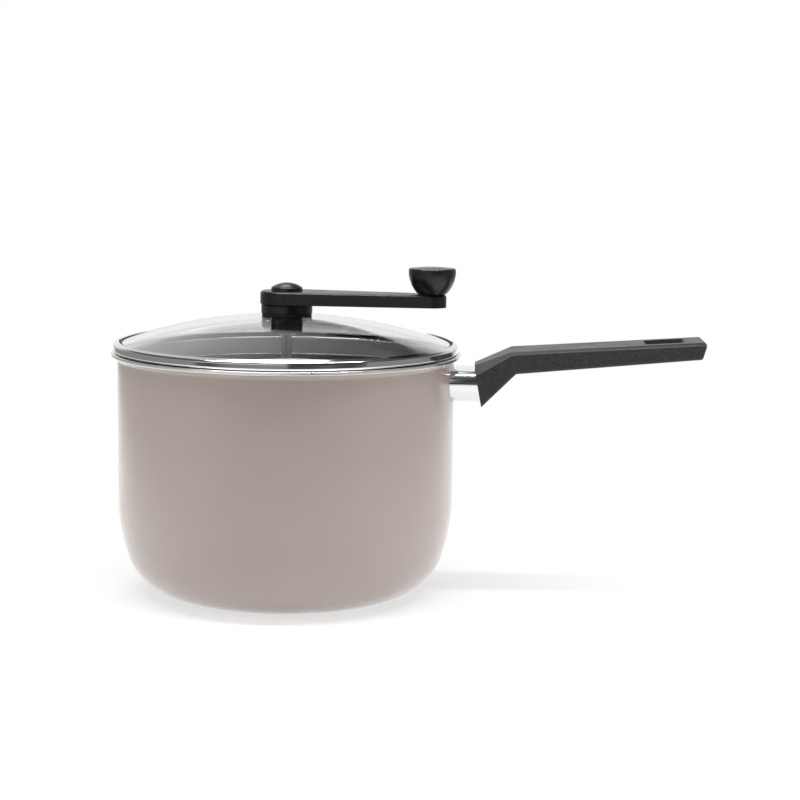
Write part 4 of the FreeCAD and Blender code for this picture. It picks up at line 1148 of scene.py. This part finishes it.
@dataclass
class Studio:
    """White room and floor, soft lamps, the cards that gloss shows and the camera."""

    camera_place: Place = (123.57 * MM, -1175.71 * MM, 280.99 * MM)
    camera_yaw: float = 2.636
    camera_pitch: float = 7.868
    camera_roll: float = 0.726
    lens_mm: float = 87.75
    sensor_mm: float = 36.0
    nearest_seen: float = 0.05
    ambient: float = 0.42

    # The room as gloss shows it, by the direction looked in: a white wall all round, darker in front and
    # at both sides, under a dark ceiling that is light on the left as far as its end, with a skylight.
    wall_top: Ramp = (0.3, 0.48, 1.0, 0.0)
    wall_front: Ramp = (-0.75, -0.25, 0.4, 1.0)
    wall_sides: Ramp = (0.5, 0.8, 1.0, 0.35)
    ceiling: Ramp = (-0.3, 0.02, 0.8, 0.1)
    ceiling_end: Ramp = (-0.5, -0.36, 0.15, 1.0)
    skylight: Ramp = (0.82, 0.9, 0.0, 0.8)
    skylight_back: Ramp = (0.15, 0.28, 1.0, 0.0)

    # The floor by distance: how far out its shadow shows, and how bright gloss shows it near and far.
    paper: str = "#F2F2F2"
    floor_width: float = 12.0
    floor_drop: float = 0.2 * MM
    shadow_fade: Ramp = (0.1, 0.22, 0.65, 1.0)
    floor_glow: Ramp = (0.08, 0.2, 1.15, 1.3)
    floor_end: Ramp = (0.4, 0.8, 1.0, 0.25)

    lamps: tuple[Lamp, ...] = (
        Lamp("top_strip", (0.05, -0.25, 1.3), (0.05, 0.0, 0.1), (1.6, 0.12), 22.0),
        Lamp("rear_strip", (-0.12, 0.75, 1.3), (0.0, 0.0, 0.18), (0.4, 0.45), 2.5),
        Lamp("left_softbox", (-1.4, -0.5, 0.5), (0.0, 0.0, 0.05), (1.0, 1.0), 6.5, False),
        Lamp("right_softbox", (1.6, -0.4, 0.5), (0.05, 0.0, 0.05), (1.0, 1.0), 9.0, False))
    flag: str = "#0C0C0C"
    card_distance: float = 0.75
    cards: tuple[Card, ...] = (
        Card("low_flag", False, (-1.0, 1.2), (0.0, 0.05)),
        Card("front_card", True, (-1.0, 0.085), (0.12, 0.36)),
        Card("right_flag", False, (0.087, 1.2), (0.06, 0.37)),
        Card("high_flag", False, (-1.0, 1.2), (0.38, 0.7)))

    def camera(self) -> None:
        """Places the camera at the viewing angle, with no shift and everything in focus."""
        data = bpy.data.cameras.new("studio_camera")
        data.lens = self.lens_mm
        data.sensor_width = self.sensor_mm
        data.clip_start = self.nearest_seen
        camera = bpy.data.objects.new("studio_camera", data)
        turn = Matrix.Rotation(math.radians(self.camera_yaw), 4, "Z")
        turn = turn @ Matrix.Rotation(math.radians(90 - self.camera_pitch), 4, "X")
        turn = turn @ Matrix.Rotation(math.radians(self.camera_roll), 4, "Z")
        camera.matrix_world = Matrix.Translation(self.camera_place) @ turn
        bpy.context.scene.collection.objects.link(camera)
        bpy.context.scene.camera = camera

    def seen_directly(self, tree: Tree) -> Node:
        """Tells the rays that the viewer sees directly or through glass.

        Args:
            tree: Node tree of a material or world.

        Returns:
            The node that gives 1 for such a ray and 0 for others.
        """
        path = add_node(tree, "ShaderNodeLightPath").outputs
        through = add_node(tree, "ShaderNodeMath", (path["Is Camera Ray"], path["Is Transmission Ray"]),
                           operation="MAXIMUM")
        unreflected = add_node(tree, "ShaderNodeMath", (path["Glossy Depth"], 0.5), operation="LESS_THAN")
        return add_node(tree, "ShaderNodeMath", (through, unreflected), operation="MULTIPLY")

    def in_gloss(self, tree: Tree) -> Node:
        """Tells the rays that a glossy surface has sent on.

        Args:
            tree: Node tree of a material or world.

        Returns:
            The node that gives 1 for such a ray and 0 for others.
        """
        path = add_node(tree, "ShaderNodeLightPath").outputs
        reflected = add_node(tree, "ShaderNodeMath", (path["Glossy Depth"], 0.5), operation="GREATER_THAN")
        unscattered = add_node(tree, "ShaderNodeMath", (1.0, path["Is Diffuse Ray"]), operation="SUBTRACT")
        return add_node(tree, "ShaderNodeMath", (reflected, unscattered), operation="MULTIPLY")

    def by_ray(self, tree: Tree, output: str, lit: Node, gloss: Node, shown: Node,
               shown_share: Node) -> None:
        """Gives a material or world its three shaders, each for the rays that it is for.

        Args:
            tree: Node tree of the material or world.
            output: Kind of its output node.
            lit: Shader for all other rays, which lights the object.
            gloss: Shader that gloss shows.
            shown: Shader that the viewer sees.
            shown_share: How much of it the viewer sees over the others, from 0 to 1.
        """
        unseen = add_node(tree, "ShaderNodeMixShader", (self.in_gloss(tree), lit, gloss))
        mixed = add_node(tree, "ShaderNodeMixShader", (shown_share, unseen, shown))
        add_node(tree, output, {"Surface": mixed})

    def world(self) -> None:
        """Surrounds the object with white that lights it at a plain level."""
        world = bpy.data.worlds.new("white_studio")
        bpy.context.scene.world = world
        tree = emptied_tree(world)
        lit, gloss, shown = (add_node(tree, "ShaderNodeBackground", (WHITE, strength))
                             for strength in (self.ambient, self.room(tree), 1.0))
        self.by_ray(tree, "ShaderNodeOutputWorld", lit, gloss, shown, self.seen_directly(tree))

    def room(self, tree: Tree) -> Node:
        """Draws the room that gloss shows, by the direction of the ray.

        Args:
            tree: The world's node tree.

        Returns:
            The node that gives the room's brightness.
        """
        direction = add_node(tree, "ShaderNodeTexCoord").outputs["Generated"]
        x, y, z = add_node(tree, "ShaderNodeSeparateXYZ", (direction,)).outputs
        aside = add_node(tree, "ShaderNodeMath", (x,), operation="ABSOLUTE")
        top, front, sides, over, end, upward, before = (
            add_node(tree, "ShaderNodeMapRange", (value, *ramp)) for value, ramp in (
                (z, self.wall_top), (y, self.wall_front), (aside, self.wall_sides), (x, self.ceiling),
                (x, self.ceiling_end), (z, self.skylight), (y, self.skylight_back)))
        around = add_node(tree, "ShaderNodeMath", (front, sides), operation="MINIMUM")
        wall = add_node(tree, "ShaderNodeMath", (top, around), operation="MULTIPLY")
        ceiling = add_node(tree, "ShaderNodeMath", (over, end), operation="MULTIPLY")
        skylight = add_node(tree, "ShaderNodeMath", (upward, before), operation="MULTIPLY")
        shut = add_node(tree, "ShaderNodeMath", (wall, ceiling), operation="MAXIMUM")
        return add_node(tree, "ShaderNodeMath", (shut, skylight), operation="MAXIMUM")

    def floor(self) -> None:
        """Lays a white floor that keeps the object's shadow close by and is plain white further out."""
        material = bpy.data.materials.new("white_floor")
        tree = emptied_tree(material)
        place = add_node(tree, "ShaderNodeTexCoord").outputs["Object"]
        distance = add_node(tree, "ShaderNodeVectorMath", (place,), operation="LENGTH")
        x, y, _ = add_node(tree, "ShaderNodeSeparateXYZ", (place,)).outputs
        aside = add_node(tree, "ShaderNodeMath", (x,), operation="ABSOLUTE")
        forward = add_node(tree, "ShaderNodeMath", (y, -1.0), operation="MULTIPLY")
        outward = add_node(tree, "ShaderNodeMath", (aside, forward), operation="MAXIMUM")
        clear, glow, end = (add_node(tree, "ShaderNodeMapRange", (value, *ramp)) for value, ramp in (
            (distance, self.shadow_fade), (distance, self.floor_glow), (outward, self.floor_end)))
        brightness = add_node(tree, "ShaderNodeMath", (end, glow), operation="MULTIPLY")
        direct = self.seen_directly(tree)
        shown_share = add_node(tree, "ShaderNodeMath", (direct, clear), operation="MULTIPLY")
        paper = add_node(tree, "ShaderNodeBsdfDiffuse", {"Color": colour(self.paper)})
        gloss = add_node(tree, "ShaderNodeEmission", (WHITE, brightness))
        shown = add_node(tree, "ShaderNodeEmission", (WHITE, 1.0))
        self.by_ray(tree, "ShaderNodeOutputMaterial", paper, gloss, shown, shown_share)
        size = (self.floor_width, self.floor_width)
        flat_card("studio_floor", size, Matrix.Translation((0, 0, -self.floor_drop)), material)

    def card_material(self, name: str, shader: str, inputs: NodeInputs) -> bpy.types.Material:
        """Makes a material of one shader.

        Args:
            name: Name of the material.
            shader: Kind of its shader node.
            inputs: Values of the shader's inputs, as feed takes them.

        Returns:
            The material.
        """
        material = bpy.data.materials.new(name)
        tree = emptied_tree(material)
        add_node(tree, "ShaderNodeOutputMaterial", {"Surface": add_node(tree, shader, inputs)})
        return material

    def stand_cards(self) -> None:
        """Stands dark flags and a white card in front, which only gloss sees, for bright metal to show."""
        black = self.card_material("black_flag", "ShaderNodeBsdfPrincipled", (colour(self.flag),))
        white = self.card_material("white_card", "ShaderNodeEmission", (WHITE, 1.0))
        upright = Matrix.Rotation(math.radians(90), 4, "X")
        for card in self.cards:
            (left, right), (low, high) = card.across, card.upward
            place = Matrix.Translation(((left + right) / 2, -self.card_distance, (low + high) / 2))
            made = flat_card(card.name, (right - left, high - low), place @ upright,
                             white if card.white else black)
            made.visible_camera = False
            made.visible_diffuse = False
            made.visible_shadow = False
            made.visible_transmission = False

    def build(self) -> None:
        """Sets the studio up."""
        self.camera()
        self.world()
        self.floor()
        for lamp in self.lamps:
            lamp.hang()
        self.stand_cards()
        bpy.context.scene.view_settings.view_transform = "Standard"
        LOG.info("studio ready")


def main() -> None:
    """Builds the object's sub-assemblies in order, then the studio."""
    logging.basicConfig(level=logging.INFO, format="%(name)s: %(message)s")
    lathe = Lathe()
    for assembly in (Pot(lathe), Handle(), Lid(lathe), Bearing(), Crank(), Stirrer(), Knob(lathe),
                     Studio()):
        assembly.build()


if __name__ == "__main__":
    main()
